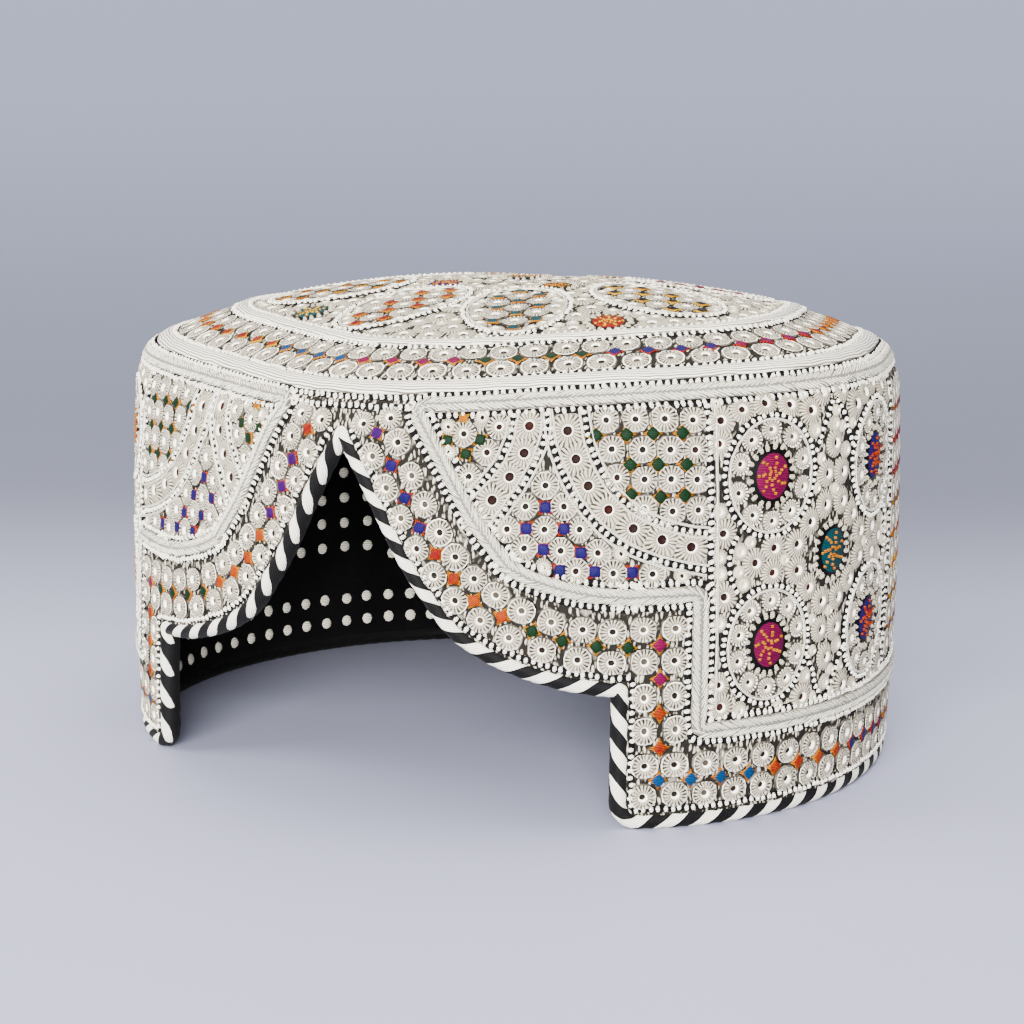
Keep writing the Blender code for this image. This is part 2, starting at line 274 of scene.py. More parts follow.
@dataclass
class Line:
    """A line drawn on a sheet. One that wraps meets itself at the back of the cap, not on the sheet."""

    sheet: Sheet
    points: Array
    closed: bool = False
    wraps: bool = False

    def dense(self, step: float = 0.0006) -> Array:
        """The line's points with more between them, at most a step apart."""
        points = np.vstack([self.points, self.points[:1]]) if self.closed else self.points
        parts = []
        for start, end in zip(points, points[1:]):
            count = max(1, math.ceil(np.linalg.norm(end - start) / step))
            parts.append(start + (end - start) * (np.arange(count) / count)[:, None])
        return np.vstack(parts + [points[-1:]])

    def rounded(self, radius: float, sharp: float = math.radians(25)) -> "Line":
        """The line with its sharp corners made round.

        Args:
            radius: Radius of the corners.
            sharp: Smallest turn that counts as a corner.
        Returns:
            The new line.
        """
        points, count, out = self.points, len(self.points), []
        most, facet = 0.9, 0.26
        for i, point in enumerate(points):
            if not self.closed and i in (0, count - 1):
                out.append(point)
                continue
            first, second = point - points[i - 1], points[(i + 1) % count] - point
            lengths = np.linalg.norm(first), np.linalg.norm(second)
            first, second = first / lengths[0], second / lengths[1]
            turn = math.acos(float(np.clip(first @ second, -1, 1)))
            if turn < sharp:
                out.append(point)
                continue
            reach = min(radius * math.tan(turn / 2), *(length * most for length in lengths))
            bend = reach / math.tan(turn / 2)
            side = math.copysign(1.0, first[0] * second[1] - first[1] * second[0])
            middle = point - first * reach + side * bend * np.array([-first[1], first[0]])
            for share in np.linspace(0, 1, max(3, math.ceil(turn / facet))):
                swing = side * turn * share
                arm = -side * bend * np.array([-first[1], first[0]])
                out.append(middle + np.array([arm[0] * math.cos(swing) - arm[1] * math.sin(swing),
                                              arm[0] * math.sin(swing) + arm[1] * math.cos(swing)]))
        return Line(self.sheet, np.array(out), self.closed, self.wraps)

    def spaced(self, pitch: float, phase: float = 0.5) -> tuple[Array, Array]:
        """Even places along the line, measured on the cap itself.

        Args:
            pitch: Wanted distance between places, rounded so that a whole number fits.
            phase: Share of a pitch at which the first place lies.
        Returns:
            Places and the directions of the line there.
        """
        points = self.dense()
        solid = self.sheet.surface(points[:, 0], points[:, 1])
        lengths = np.concatenate([[0], np.cumsum(np.linalg.norm(np.diff(solid, axis=0), axis=1))])
        count = max(1, round(lengths[-1] / pitch))
        whole = (np.arange(count) + phase) * lengths[-1] / count
        a, b = np.interp(whole, lengths, points[:, 0]), np.interp(whole, lengths, points[:, 1])
        near = pitch * 0.3
        before = [np.interp(np.maximum(whole - near, 0), lengths, points[:, k]) for k in (0, 1)]
        after = [np.interp(np.minimum(whole + near, lengths[-1]), lengths, points[:, k]) for k in (0, 1)]
        stretch = self.sheet.step(a, b, np.full_like(a, near), np.zeros_like(a))[0] - a
        turn = np.arctan2(after[1] - before[1], (after[0] - before[0]) * near / np.abs(stretch))
        return np.stack([a, b], -1), turn

    def mirrored(self) -> "Line":
        """The same line on the cap's other half."""
        return Line(self.sheet, self.points[::-1] * (-1, 1), self.closed)

    def moved(self, distance: float) -> "Line":
        """The line moved to its left, with mitred corners.

        Args:
            distance: How far, less than zero to its right.
        Returns:
            The new line.
        """
        points = self.points
        if self.closed:
            before, after = np.roll(points, 1, axis=0), np.roll(points, -1, axis=0)
        else:
            before = np.vstack([2 * points[0] - points[1], points[:-1]])
            after = np.vstack([points[1:], 2 * points[-1] - points[-2]])
        first, second = points - before, after - points
        first /= np.linalg.norm(first, axis=1, keepdims=True) + 1e-12
        second /= np.linalg.norm(second, axis=1, keepdims=True) + 1e-12
        normal = np.stack([-first[:, 1], first[:, 0]], -1)
        bisector = normal + np.stack([-second[:, 1], second[:, 0]], -1)
        bisector /= np.linalg.norm(bisector, axis=1, keepdims=True)
        reach = distance / np.maximum((bisector * normal).sum(1, keepdims=True), 0.35)
        return Line(self.sheet, points + bisector * reach, self.closed, self.wraps)


@dataclass(frozen=True)
class EdgeChart:
    """The cut edge of the side and the lines that run beside it, for the right half."""

    form: CapForm
    half_width: float = 0.0675
    foot: float = 0.0316
    headroom: float = 0.0090
    rope_width: float = 0.0040
    corner_radius: float = 0.0045
    rest_flat: float = 0.0003
    samples: int = 2000
    run_on: float = 0.001
    curve: tuple = (
        (0.000, 1.000), (0.113, 0.785), (0.264, 0.475), (0.356, 0.330), (0.414, 0.245),
        (0.471, 0.190), (0.599, 0.110), (0.744, 0.052), (0.860, 0.020), (1.000, 0.000),
    )

    @property
    def rim_up(self) -> float:
        """Height of the middle of the rope on the rim."""
        return self.rope_width / 2 - self.rest_flat

    def arch(self, count: int = 160) -> Array:
        """Points on the middle of the rope from the arch's point to its foot, evenly spaced.

        Args:
            count: Number of points.
        Returns:
            Sheet points.
        """
        rows = np.array(self.curve)
        slopes = np.diff(rows[:, 1]) / np.diff(rows[:, 0])
        inner = 2 * slopes[:-1] * slopes[1:] / (slopes[:-1] + slopes[1:])
        tangents = np.concatenate([slopes[:1], inner, slopes[-1:]])
        share = np.linspace(0, 1, self.samples)
        i = np.clip(np.searchsorted(rows[:, 0], share, side="right") - 1, 0, len(slopes) - 1)
        width = rows[i + 1, 0] - rows[i, 0]
        rise = rows[i + 1, 1] - rows[i, 1]
        t = (share - rows[i, 0]) / width
        start, end = tangents[i] * width, tangents[i + 1] * width
        up = (rows[i, 1] + start * t + (3 * rise - 2 * start - end) * t ** 2
              + (start + end - 2 * rise) * t ** 3)
        apex = self.form.side_height - self.headroom
        points = np.stack([self.half_width * share, self.foot + (apex - self.foot) * up], -1)
        lengths = np.concatenate([[0], np.cumsum(np.linalg.norm(np.diff(points, axis=0), axis=1))])
        whole = np.linspace(0, lengths[-1], count)
        return np.stack([np.interp(whole, lengths, points[:, k]) for k in (0, 1)], -1)

    def opening(self) -> float:
        """Area of the arch that is cut out of the flat side."""
        arch = self.arch()
        rise = (arch[1:, 1] + arch[:-1, 1]) / 2
        return 2 * float((np.diff(arch[:, 0]) * rise).sum())

    def corners(self, inset: Sequence[float]) -> Array:
        """Foot corner, rim corner and back of a line set in from the rope.

        Args:
            inset: Distances from the rope at the arch's foot, the upright edge and the rim.
        Returns:
            Three sheet points.
        """
        at_foot, upright, at_rim = inset
        side = self.half_width + upright
        return np.array([(side, self.foot + at_foot), (side, self.rim_up + at_rim),
                         (self.form.half_round, self.rim_up + at_rim)])

    def beside(self, sheet: Sheet, inset: Sequence[float], top: float = 1.0, apex: float | None = None,
               fillet: float = 0.0) -> Array:
        """Right half of a line that follows the cut edge.

        Args:
            sheet: The side's sheet.
            inset: Distances from the rope at the arch's foot, the upright edge and the rim.
            top: Height above which the line is left out.
            apex: Distance from the rope at the arch's point, if it isn't that at the foot.
            fillet: Radius of the rim corner.
        Returns:
            Sheet points from the top or the point of the arch to the back.
        """
        path = self.arch()
        mirror = np.array([[-path[1, 0], path[1, 1]]])
        padded = Line(sheet, np.vstack([mirror, path, [[path[-1, 0] + self.run_on, path[-1, 1]]]]))
        near = padded.moved(inset[0] if apex is None else apex).points[1:-1]
        far = padded.moved(inset[0]).points[1:-1]
        share = np.linspace(0, 1, len(path))[:, None]
        line = near + (far - near) * share
        corners = self.corners(inset)
        line = line[(line[:, 1] < top) & (line[:, 0] < corners[0, 0])]
        if fillet > 0:
            turn = np.radians(np.linspace(0, 90, 7))
            middle = corners[1] + fillet
            arc = np.stack([middle[0] - fillet * np.cos(turn), middle[1] - fillet * np.sin(turn)], -1)
            return np.vstack([line, corners[:1], arc, corners[2:]])
        return np.vstack([line, corners])


def both_halves(half: Array) -> Array:
    """Points of a line's mirrored half and its own, from left to right."""
    left = half[::-1] * (-1, 1)
    return np.vstack([left[:-1] if abs(half[0, 0]) < 1e-6 else left, half])


@dataclass(frozen=True)
class Rails:
    """What a cord needs to follow a line: its middle, its sideways step and the normal, along the way."""

    middle: Array
    across: Array
    normal: Array
    length: Array

    @classmethod
    def along(cls, line: Line, step: float, depth: float = 0.0) -> "Rails":
        """Lay rails along a line.

        Args:
            line: The line to follow.
            step: Distance between stations.
            depth: How deep under the face the middle lies.
        Returns:
            The rails. Where the line meets itself, its first station isn't repeated.
        """
        dense = line.dense(step)
        points = dense[:-1] if line.closed or line.wraps else dense
        probe = 0.0005
        track = Line(line.sheet, points, line.closed)
        inner, outer = track.moved(probe).points, track.moved(-probe).points
        place = line.sheet.place
        middle = place(points[:, 0], points[:, 1], -depth)
        across = (place(inner[:, 0], inner[:, 1]) - place(outer[:, 0], outer[:, 1])) / (2 * probe)
        steps = np.linalg.norm(np.diff(np.vstack([middle, middle[:1]]), axis=0), axis=1)
        return cls(middle, across, line.sheet.normal(points[:, 0], points[:, 1]),
                   np.concatenate([[0], np.cumsum(steps)]))


def only(*things: Thing) -> Thing:
    """Select nothing but some objects and make the first one active.

    Args:
        things: The objects.
    Returns:
        The active one.
    """
    bpy.ops.object.select_all(action="DESELECT")
    for thing in things:
        thing.select_set(True)
    bpy.context.view_layer.objects.active = things[0]
    return things[0]


def column(items: Sequence, key: str, kind: type = int, width: int = 1) -> Array:
    """Read one value of every corner, point or face of a mesh."""
    found = np.zeros(len(items) * width, kind)
    items.foreach_get(key, found)
    return found


def draped_grid(name: str, points: Array, chart: Array) -> Thing:
    """Add a grid and pull its corners to their places.

    Args:
        name: The object's name.
        points: Places by row, column and axis. A row runs to the right where the face looks out.
        chart: UV of every corner, by row and column.
    Returns:
        The object.
    """
    rows, columns = points.shape[:2]
    bpy.ops.object.select_all(action="DESELECT")
    bpy.ops.mesh.primitive_grid_add(x_subdivisions=columns - 1, y_subdivisions=rows - 1, size=1)
    thing = bpy.context.object
    thing.name = thing.data.name = name
    thing.data.vertices.foreach_set("co", points.reshape(-1))
    corners = column(thing.data.loops, "vertex_index")
    layer = thing.data.uv_layers[0]
    layer.name = "chart"
    layer.data.foreach_set("uv", chart.reshape(-1, 2)[corners].reshape(-1))
    bpy.ops.object.shade_smooth()
    return thing


def welded(thing: Thing, others: Iterable[Thing] = ()) -> Thing:
    """Join objects to one and merge the corners that lie together.

    Args:
        thing: The object that stays.
        others: The objects that go into it.
    Returns:
        The joined object.
    """
    only(thing, *others)
    if len(bpy.context.selected_objects) > 1:
        bpy.ops.object.join()
    bpy.ops.object.mode_set(mode="EDIT")
    bpy.ops.mesh.select_all(action="SELECT")
    bpy.ops.mesh.remove_doubles(threshold=WELD)
    bpy.ops.object.mode_set(mode="OBJECT")
    return thing


def thickened(thing: Thing, thickness: float) -> Thing:
    """Give a sheet its thickness, inwards.

    Args:
        thing: The sheet.
        thickness: The thickness.
    Returns:
        The same object.
    """
    only(thing)
    wall = thing.modifiers.new("thickness", "SOLIDIFY")
    wall.thickness = thickness
    wall.offset = -1.0
    bpy.ops.object.modifier_apply(modifier=wall.name)
    return thing


def spun_tube(name: str, rails: Rails, section: Callable[[Array, Array], tuple[Array, Array]],
              around: int) -> Thing:
    """Sweep a closed section along closed rails.

    Args:
        name: The object's name.
        rails: The rails.
        section: Gives sideways and outward offsets for lengths along and shares around.
        around: Faces around the section.
    Returns:
        The object. Its UV holds the length along in metres and the share around.
    """
    count = len(rails.middle)
    share, along = np.meshgrid(np.arange(around + 1) / around, np.arange(count + 1), indexing="ij")
    chart = np.stack([rails.length[along], share], -1)
    sideways, outward = section(chart[..., 0], -share)
    at = along % count
    points = (rails.middle[at] + rails.across[at] * sideways[..., None]
              + rails.normal[at] * outward[..., None])
    return welded(draped_grid(name, points, chart))


def strip(name: str, rails: Rails, profile: Sequence[Pair], closed: bool) -> Thing:
    """Lay a strip along rails.

    Args:
        name: The object's name.
        rails: The rails.
        profile: Sideways and outward offsets across the strip, from its right to its left.
        closed: Whether the strip's ends meet.
    Returns:
        The object. Its UV holds the length along and the offset, in metres.
    """
    count = len(rails.middle)
    profile = np.array(profile)
    along = np.arange(count + 1) if closed else np.arange(count)
    row, at = np.meshgrid(np.arange(len(profile)), along, indexing="ij")
    chart = np.stack([rails.length[at], profile[row, 0]], -1)
    at = at % count
    points = (rails.middle[at] + rails.across[at] * profile[row, 0][..., None]
              + rails.normal[at] * profile[row, 1][..., None])
    thing = draped_grid(name, points, chart)
    return welded(thing) if closed else thing


class Sketch:
    """The node graph of one material."""

    def __init__(self, name: str, **shader: float | tuple) -> None:
        """Start a material.

        Args:
            name: The material's name.
            shader: Fixed values of the shader's own sockets, spaces written as underscores.
        """
        self.material = bpy.data.materials.new(name)
        self.material.use_nodes = True
        self.tree = self.material.node_tree
        self.shader = self.tree.nodes["Principled BSDF"]
        for socket, value in shader.items():
            self.shader.inputs[socket.replace("_", " ")].default_value = value

    def make(self, kind: str, *inputs: object, output: int | str = 0, **settings: object) -> Socket:
        """Add a node.

        Args:
            kind: The node's type, without its common prefix.
            inputs: Values or sockets for its inputs in order, None to leave one alone.
            output: The output to hand back.
            settings: The node's own settings.
        Returns:
            The output socket.
        """
        node = self.tree.nodes.new("ShaderNode" + kind)
        for key, value in settings.items():
            setattr(node, key, value)
        for slot, value in zip(node.inputs, inputs):
            if isinstance(value, Socket):
                self.tree.links.new(value, slot)
            elif value is not None:
                slot.default_value = value
        return node.outputs[output]

    def math(self, operation: str, *inputs: float | Socket) -> Socket:
        """Add a math node."""
        return self.make("Math", *inputs, operation=operation)

    def times(self, *inputs: float | Socket) -> Socket:
        """Multiply two values."""
        return self.math("MULTIPLY", *inputs)

    def fused(self, *inputs: float | Socket) -> Socket:
        """Multiply the first two values and add the third."""
        return self.math("MULTIPLY_ADD", *inputs)

    def off_half(self, value: Socket) -> Socket:
        """Distance of a value from one half."""
        return self.math("ABSOLUTE", self.math("SUBTRACT", value, 0.5))

    def ramp(self, value: Socket, low: float, high: float, start: float = 0.0, end: float = 1.0) -> Socket:
        """Turn a span of a value smoothly into another span."""
        return self.make("MapRange", value, low, high, start, end, interpolation_type="SMOOTHSTEP")

    def mix(self, share: float | Socket, first: object, second: object) -> Socket:
        """Mix two colours."""
        node = self.tree.nodes.new("ShaderNodeMix")
        node.data_type = "RGBA"
        for slot, value in ((node.inputs[0], share), (node.inputs[6], first), (node.inputs[7], second)):
            if isinstance(value, Socket):
                self.tree.links.new(value, slot)
            else:
                slot.default_value = (*value, 1.0) if isinstance(value, tuple) and len(value) == 3 else value
        return node.outputs[2]

    def noise(self, scale: float, detail: float = 2.0, output: str | int = 0) -> Socket:
        """Add cloudy noise on Object coordinates."""
        place = self.make("TexCoord", output="Object")
        return self.make("TexNoise", place, None, scale, detail, output=output)

    def chart(self, name: str) -> tuple[Socket, Socket, Socket]:
        """Read a UV map: the vector and its two parts."""
        vector = self.make("UVMap", uv_map=name)
        split = self.make("SeparateXYZ", vector).node
        return vector, split.outputs[0], split.outputs[1]

    def attribute(self, name: str, output: str = "Color") -> Socket:
        """Read an attribute of the mesh."""
        return self.make("Attribute", output=output, attribute_name=name)

    def finish(self, colour: Socket, height: Socket | None = None,
               distance: float = 0.0) -> Material:
        """Send colour and relief to the shader.

        Args:
            colour: The base colour.
            height: The relief from 0 to 1, or None.
            distance: Depth of the relief.
        Returns:
            The material.
        """
        self.tree.links.new(colour, self.shader.inputs["Base Color"])
        if height is not None:
            bump = self.make("Bump", 1.0, distance, None, height)
            self.tree.links.new(bump, self.shader.inputs["Normal"])
        return self.material


@dataclass
class Motif:
    """One stitched shape, modelled flat once and laid many times."""

    places: Array
    corners: Array
    counts: Array
    zones: Array

    @classmethod
    def read(cls, thing: Thing) -> "Motif":
        """Take the mesh of a modelled shape and delete the shape.

        Args:
            thing: The shape, with a material index per zone of its dyes.
        Returns:
            The motif.
        """
        mesh = thing.data
        motif = cls(column(mesh.vertices, "co", float, 3).reshape(-1, 3), column(mesh.loops, "vertex_index"),
                    column(mesh.polygons, "loop_total"), column(mesh.polygons, "material_index"))
        only(thing)
        bpy.ops.object.delete()
        return motif


def turned_profile(sides: int, rings: Sequence[tuple[float, float, int]], square: float = 0.0) -> Thing:
    """Model a round shape by extruding the edge of a disc ring by ring.

    Args:
        sides: Corners of every ring.
        rings: Radius, height and dye zone of every ring, from the middle out.
        square: How far the outer rings bulge towards the four corners.
    Returns:
        The shape.
    """
    radius, height, middle = rings[0]
    bpy.ops.object.select_all(action="DESELECT")
    bpy.ops.mesh.primitive_circle_add(vertices=sides, radius=radius, fill_type="NGON")
    thing = bpy.context.object
    for _ in range(max(ring[2] for ring in rings) + 1):
        thing.data.materials.append(None)
    bpy.ops.object.mode_set(mode="EDIT")
    bpy.ops.mesh.select_all(action="SELECT")
    bpy.ops.transform.translate(value=(0, 0, height))
    thing.active_material_index = middle
    bpy.ops.object.material_slot_assign()
    bpy.ops.mesh.region_to_loop()
    for wider, higher, zone in rings[1:]:
        bpy.ops.mesh.extrude_edges_move(TRANSFORM_OT_translate={"value": (0, 0, higher - height)})
        bpy.ops.transform.resize(value=(wider / radius, wider / radius, 1), center_override=(0, 0, 0))
        bpy.ops.object.mode_set(mode="OBJECT")
        for face in thing.data.polygons[-sides:]:
            face.material_index = zone
        bpy.ops.object.mode_set(mode="EDIT")
        radius, height = wider, higher
    bpy.ops.mesh.select_all(action="SELECT")
    bpy.ops.mesh.normals_make_consistent(inside=False)
    bpy.ops.object.mode_set(mode="OBJECT")
    reach = rings[-1][0]
    for corner in thing.data.vertices:
        turn = math.atan2(corner.co.y, corner.co.x)
        swell = 1 + square * (math.hypot(corner.co.x, corner.co.y) / reach) ** 2 * -math.cos(4 * turn)
        corner.co.x, corner.co.y = corner.co.x * swell, corner.co.y * swell
    return thing


def four_point_star() -> Motif:
    """Model a star that fills the gap between four eyelets: a dyed middle and four dyed tips.

    Returns:
        The motif, with zone 0 in the middle and zone 1 on the tips.
    """
    sides, notch = 8, (1.0, 0.78, 0.48)
    star = turned_profile(sides, ((0.00070, 0.00072, 0), (0.00156, 0.00062, 0), (0.00240, 0.00012, 1)))
    for i, corner in enumerate(star.data.vertices):
        if i % 2:
            pull = notch[i // sides]
            corner.co.x, corner.co.y = corner.co.x * pull, corner.co.y * pull
    return Motif.read(star)


def pillow(cuts: int, height: float, taper: float = 0.0) -> Motif:
    """Model a small padded stitch on a unit square.

    Args:
        cuts: Cuts across each side of the square.
        height: Height of its middle.
        taper: How far its two ends are drawn in, from 0 to 1.
    Returns:
        The motif.
    """
    bpy.ops.object.select_all(action="DESELECT")
    bpy.ops.mesh.primitive_plane_add(size=1)
    thing = bpy.context.object
    thing.data.materials.append(None)
    bpy.ops.object.mode_set(mode="EDIT")
    bpy.ops.mesh.select_all(action="SELECT")
    bpy.ops.mesh.subdivide(number_cuts=cuts)
    bpy.ops.object.mode_set(mode="OBJECT")
    outer, rounded = 0.99, 0.86
    for corner in thing.data.vertices:
        x, y = corner.co.x * 2, corner.co.y * 2
        corner.co.z = height * math.sqrt(max(0.0, 1 - x ** 4)) * math.sqrt(max(0.0, 1 - y ** 4))
        corner.co.y *= 1 - taper * x * x
        if min(abs(x), abs(y)) > outer:
            corner.co.x, corner.co.y = corner.co.x * rounded, corner.co.y * rounded
    return Motif.read(thing)


# Zone 3, the eyelet's outer slope, is painted near-black as shade between neighbouring eyelets.
EYELET_RINGS = ((0.00076, 0.00008, 0), (0.00110, 0.00074, 2), (0.00236, 0.00056, 1), (0.00276, 0.00018, 1),
                (0.00294, 0.00062, 2), (0.00320, 0.00056, 2), (0.00350, 0.0, 3))
BURST_RINGS = ((0.00098, 0.00010, 0), (0.00132, 0.00072, 2), (0.00250, 0.00056, 1), (0.00400, 0.0, 1))
MEDALLION_RINGS = ((0.00100, 0.00052, 0), (0.00490, 0.00040, 0), (0.00525, 0.00016, 1), (0.00660, 0.00010, 1),
                   (0.00700, -0.00010, 1))
BEAD_RINGS = ((0.00022, 0.00045, 0), (0.00042, 0.0, 0))
KNOT_RINGS = ((0.00030, 0.00062, 0), (0.00085, 0.00050, 0), (0.00120, 0.0, 0))


@dataclass(frozen=True)
class MotifBox:
    """All the stitched shapes, each modelled once."""

    eyelet: Motif
    burst: Motif
    star: Motif
    block: Motif
    satin: Motif
    medallion: Motif
    bead: Motif
    knot: Motif

    @classmethod
    def modelled(cls) -> "MotifBox":
        """Model the shapes.

        Returns:
            The box of motifs.
        """
        eyelet, burst = turned_profile(12, EYELET_RINGS, square=0.04), turned_profile(14, BURST_RINGS)
        medallion, bead = turned_profile(28, MEDALLION_RINGS), turned_profile(6, BEAD_RINGS)
        knot = turned_profile(8, KNOT_RINGS)
        return cls(Motif.read(eyelet), Motif.read(burst), four_point_star(), pillow(2, height=0.00070),
                   pillow(3, height=0.00075, taper=0.55), Motif.read(medallion), Motif.read(bead),
                   Motif.read(knot))


@dataclass
class Spot:
    """One place on a sheet where a motif is laid."""

    a: float
    b: float
    turn: float = 0.0
    wide: float = 1.0
    tall: float = 1.0
    dyes: tuple = ()
    lift: float = 0.0
    high: float = 1.0

    def mirrored(self) -> "Spot":
        """The same spot on the cap's other half."""
        return replace(self, a=-self.a, turn=math.pi - self.turn)


THREAD_WHITE = (Dye.CREAM,) * 4


@dataclass
class Stitcher:
    """Lays motifs on a sheet as one mesh, each with a little of the hand's unevenness."""

    sheet: Sheet
    seed: int
    wander: float = 0.00013
    uneven: float = 0.045
    inside: float = 0.0

    def lay(self, name: str, motif: Motif, spots: Sequence[Spot]) -> Thing:
        """Lay a motif on many spots.

        Args:
            name: Name of the joined object.
            motif: The motif.
            spots: The spots.
        Returns:
            The object, with the UV map "stitch" in the motif's own metres, the corner colour "dye" and
            the point value "tone".
        """
        chance = np.random.default_rng(self.seed)
        count, size = len(spots), len(motif.places)
        table = np.array([(s.a, s.b, s.turn, s.wide, s.tall, s.lift, s.high) for s in spots])
        table[:, :2] += chance.normal(0, self.wander, (count, 2))
        table[:, 2] += chance.normal(0, self.uneven, count)
        table[:, 3:5] *= 1 + chance.normal(0, self.uneven / 2, (count, 2))
        a, b, turn, wide, tall, lift, high = (column[:, None] for column in table.T)
        x, y, z = motif.places[:, 0] * wide, motif.places[:, 1] * tall, motif.places[:, 2] * high
        right = x * np.cos(turn) - y * np.sin(turn)
        up = x * np.sin(turn) + y * np.cos(turn)
        at_a, at_b = self.sheet.step(np.broadcast_to(a, x.shape), np.broadcast_to(b, x.shape), right, up)
        height = z + lift
        if self.inside:
            height = -self.inside - height
        points = self.sheet.place(at_a, at_b, height).reshape(-1, 3)
        corners = motif.corners[None, :] + np.arange(count)[:, None] * size
        stitch = np.stack([x, y], -1)[:, motif.corners]
        zone = np.repeat(motif.zones, motif.counts)
        if self.inside:
            starts = np.cumsum(motif.counts) - motif.counts
            order = np.concatenate([np.arange(start, start + n)[::-1]
                                    for start, n in zip(starts, motif.counts)])
            corners, stitch, zone = corners[:, order], stitch[:, order], zone[order]
        mesh = bpy.data.meshes.new(name)
        mesh.vertices.add(len(points))
        mesh.vertices.foreach_set("co", points.reshape(-1))
        mesh.loops.add(corners.size)
        mesh.loops.foreach_set("vertex_index", corners.reshape(-1).astype(np.int32))
        counts = np.tile(motif.counts, count)
        mesh.polygons.add(len(counts))
        mesh.polygons.foreach_set("loop_start", (np.cumsum(counts) - counts).astype(np.int32))
        mesh.polygons.foreach_set("loop_total", counts.astype(np.int32))
        mesh.update(calc_edges=True)
        mesh.uv_layers.new(name="stitch").data.foreach_set("uv", stitch.reshape(-1))
        # Eyelets carry SHADOW on their outer slope, so the dye colour there is painted shade.
        dyes = np.array([[dye.value for dye in (spot.dyes or THREAD_WHITE)] for spot in spots])
        colours = np.ones((*corners.shape, 4))
        colours[..., :3] = dyes[:, zone]
        layer = mesh.color_attributes.new("dye", "FLOAT_COLOR", "CORNER")
        layer.data.foreach_set("color", colours.reshape(-1))
        tone = np.repeat(chance.random(count), size)
        mesh.attributes.new("tone", "FLOAT", "POINT").data.foreach_set("value", tone)
        thing = bpy.data.objects.new(name, mesh)
        bpy.context.scene.collection.objects.link(thing)
        only(thing)
        bpy.ops.object.shade_smooth()
        return thing


WHITE = srgb(196, 188, 168)
BRIGHT = srgb(250, 245, 227)
SHADE = srgb(52, 48, 42)
INK = srgb(4, 4, 5)


@dataclass(frozen=True)
class StitchedGround:
    """Off-white cloth closely covered with small stitches."""

    stitch: Pair = (0.00072, 0.0021)
    bend: float = 0.0020
    relief: float = 0.00035
    # How far the gaps between stitches are darkened: painted shade.
    gap_shade_share: float = 0.97
    worn: Colour = srgb(190, 182, 164)
    # Near-black of the gaps between stitches: painted shade.
    gap_shade: Colour = srgb(12, 11, 10)

    def material(self) -> Material:
        """Build the finish."""
        pen = Sketch("stitched_ground", Roughness=0.7, Sheen_Weight=0.0, Specular_IOR_Level=0.05)
        vector, _, _ = pen.chart("chart")
        drift = pen.make("VectorMath", pen.noise(210.0, output="Color"), (0.5,) * 3, operation="SUBTRACT")
        bent = pen.make("VectorMath", drift, (self.bend,) * 3, vector, operation="MULTIPLY_ADD")
        scale = (1 / self.stitch[0], 1 / self.stitch[1], 0.0)
        laid = pen.make("VectorMath", bent, scale, operation="MULTIPLY")
        cells = pen.make("TexVoronoi", laid, None, 1.0)
        height = pen.ramp(cells, 0.10, 0.65, 1.0, 0.0)
        # Gaps at the stitch cells' edges are painted near-black: painted shade between the stitches.
        gaps = pen.times(pen.ramp(cells, 0.34, 0.48), pen.ramp(pen.noise(330.0), 0.26, 0.42))
        worn = pen.mix(pen.ramp(pen.noise(55.0), 0.35, 0.7), WHITE, self.worn)
        # Low parts of each stitch are mixed towards SHADE: painted shade.
        shaded = pen.mix(height, pen.mix(0.7, worn, SHADE), worn)
        colour = pen.mix(pen.times(gaps, self.gap_shade_share), shaded, self.gap_shade)
        return pen.finish(colour, height, self.relief)


@dataclass(frozen=True)
class LiningCotton:
    """Plain black cotton with a fine weave."""

    thread: float = 0.0006
    black: Colour = srgb(4, 4, 5)
    dusty: Colour = srgb(10, 10, 12)

    def material(self) -> Material:
        """Build the finish."""
        pen = Sketch("lining_cotton", Roughness=0.9, Sheen_Weight=0.01, Specular_IOR_Level=0.05)
        _, along, up = pen.chart("chart")
        turns = TURN / self.thread
        warp = pen.math("SINE", pen.times(along, turns))
        weft = pen.math("SINE", pen.times(up, turns))
        weave = pen.ramp(pen.times(warp, weft), -1.0, 1.0)
        colour = pen.mix(pen.ramp(pen.noise(40.0), 0.4, 0.8), self.black, self.dusty)
        return pen.finish(colour, weave, self.thread / 4)


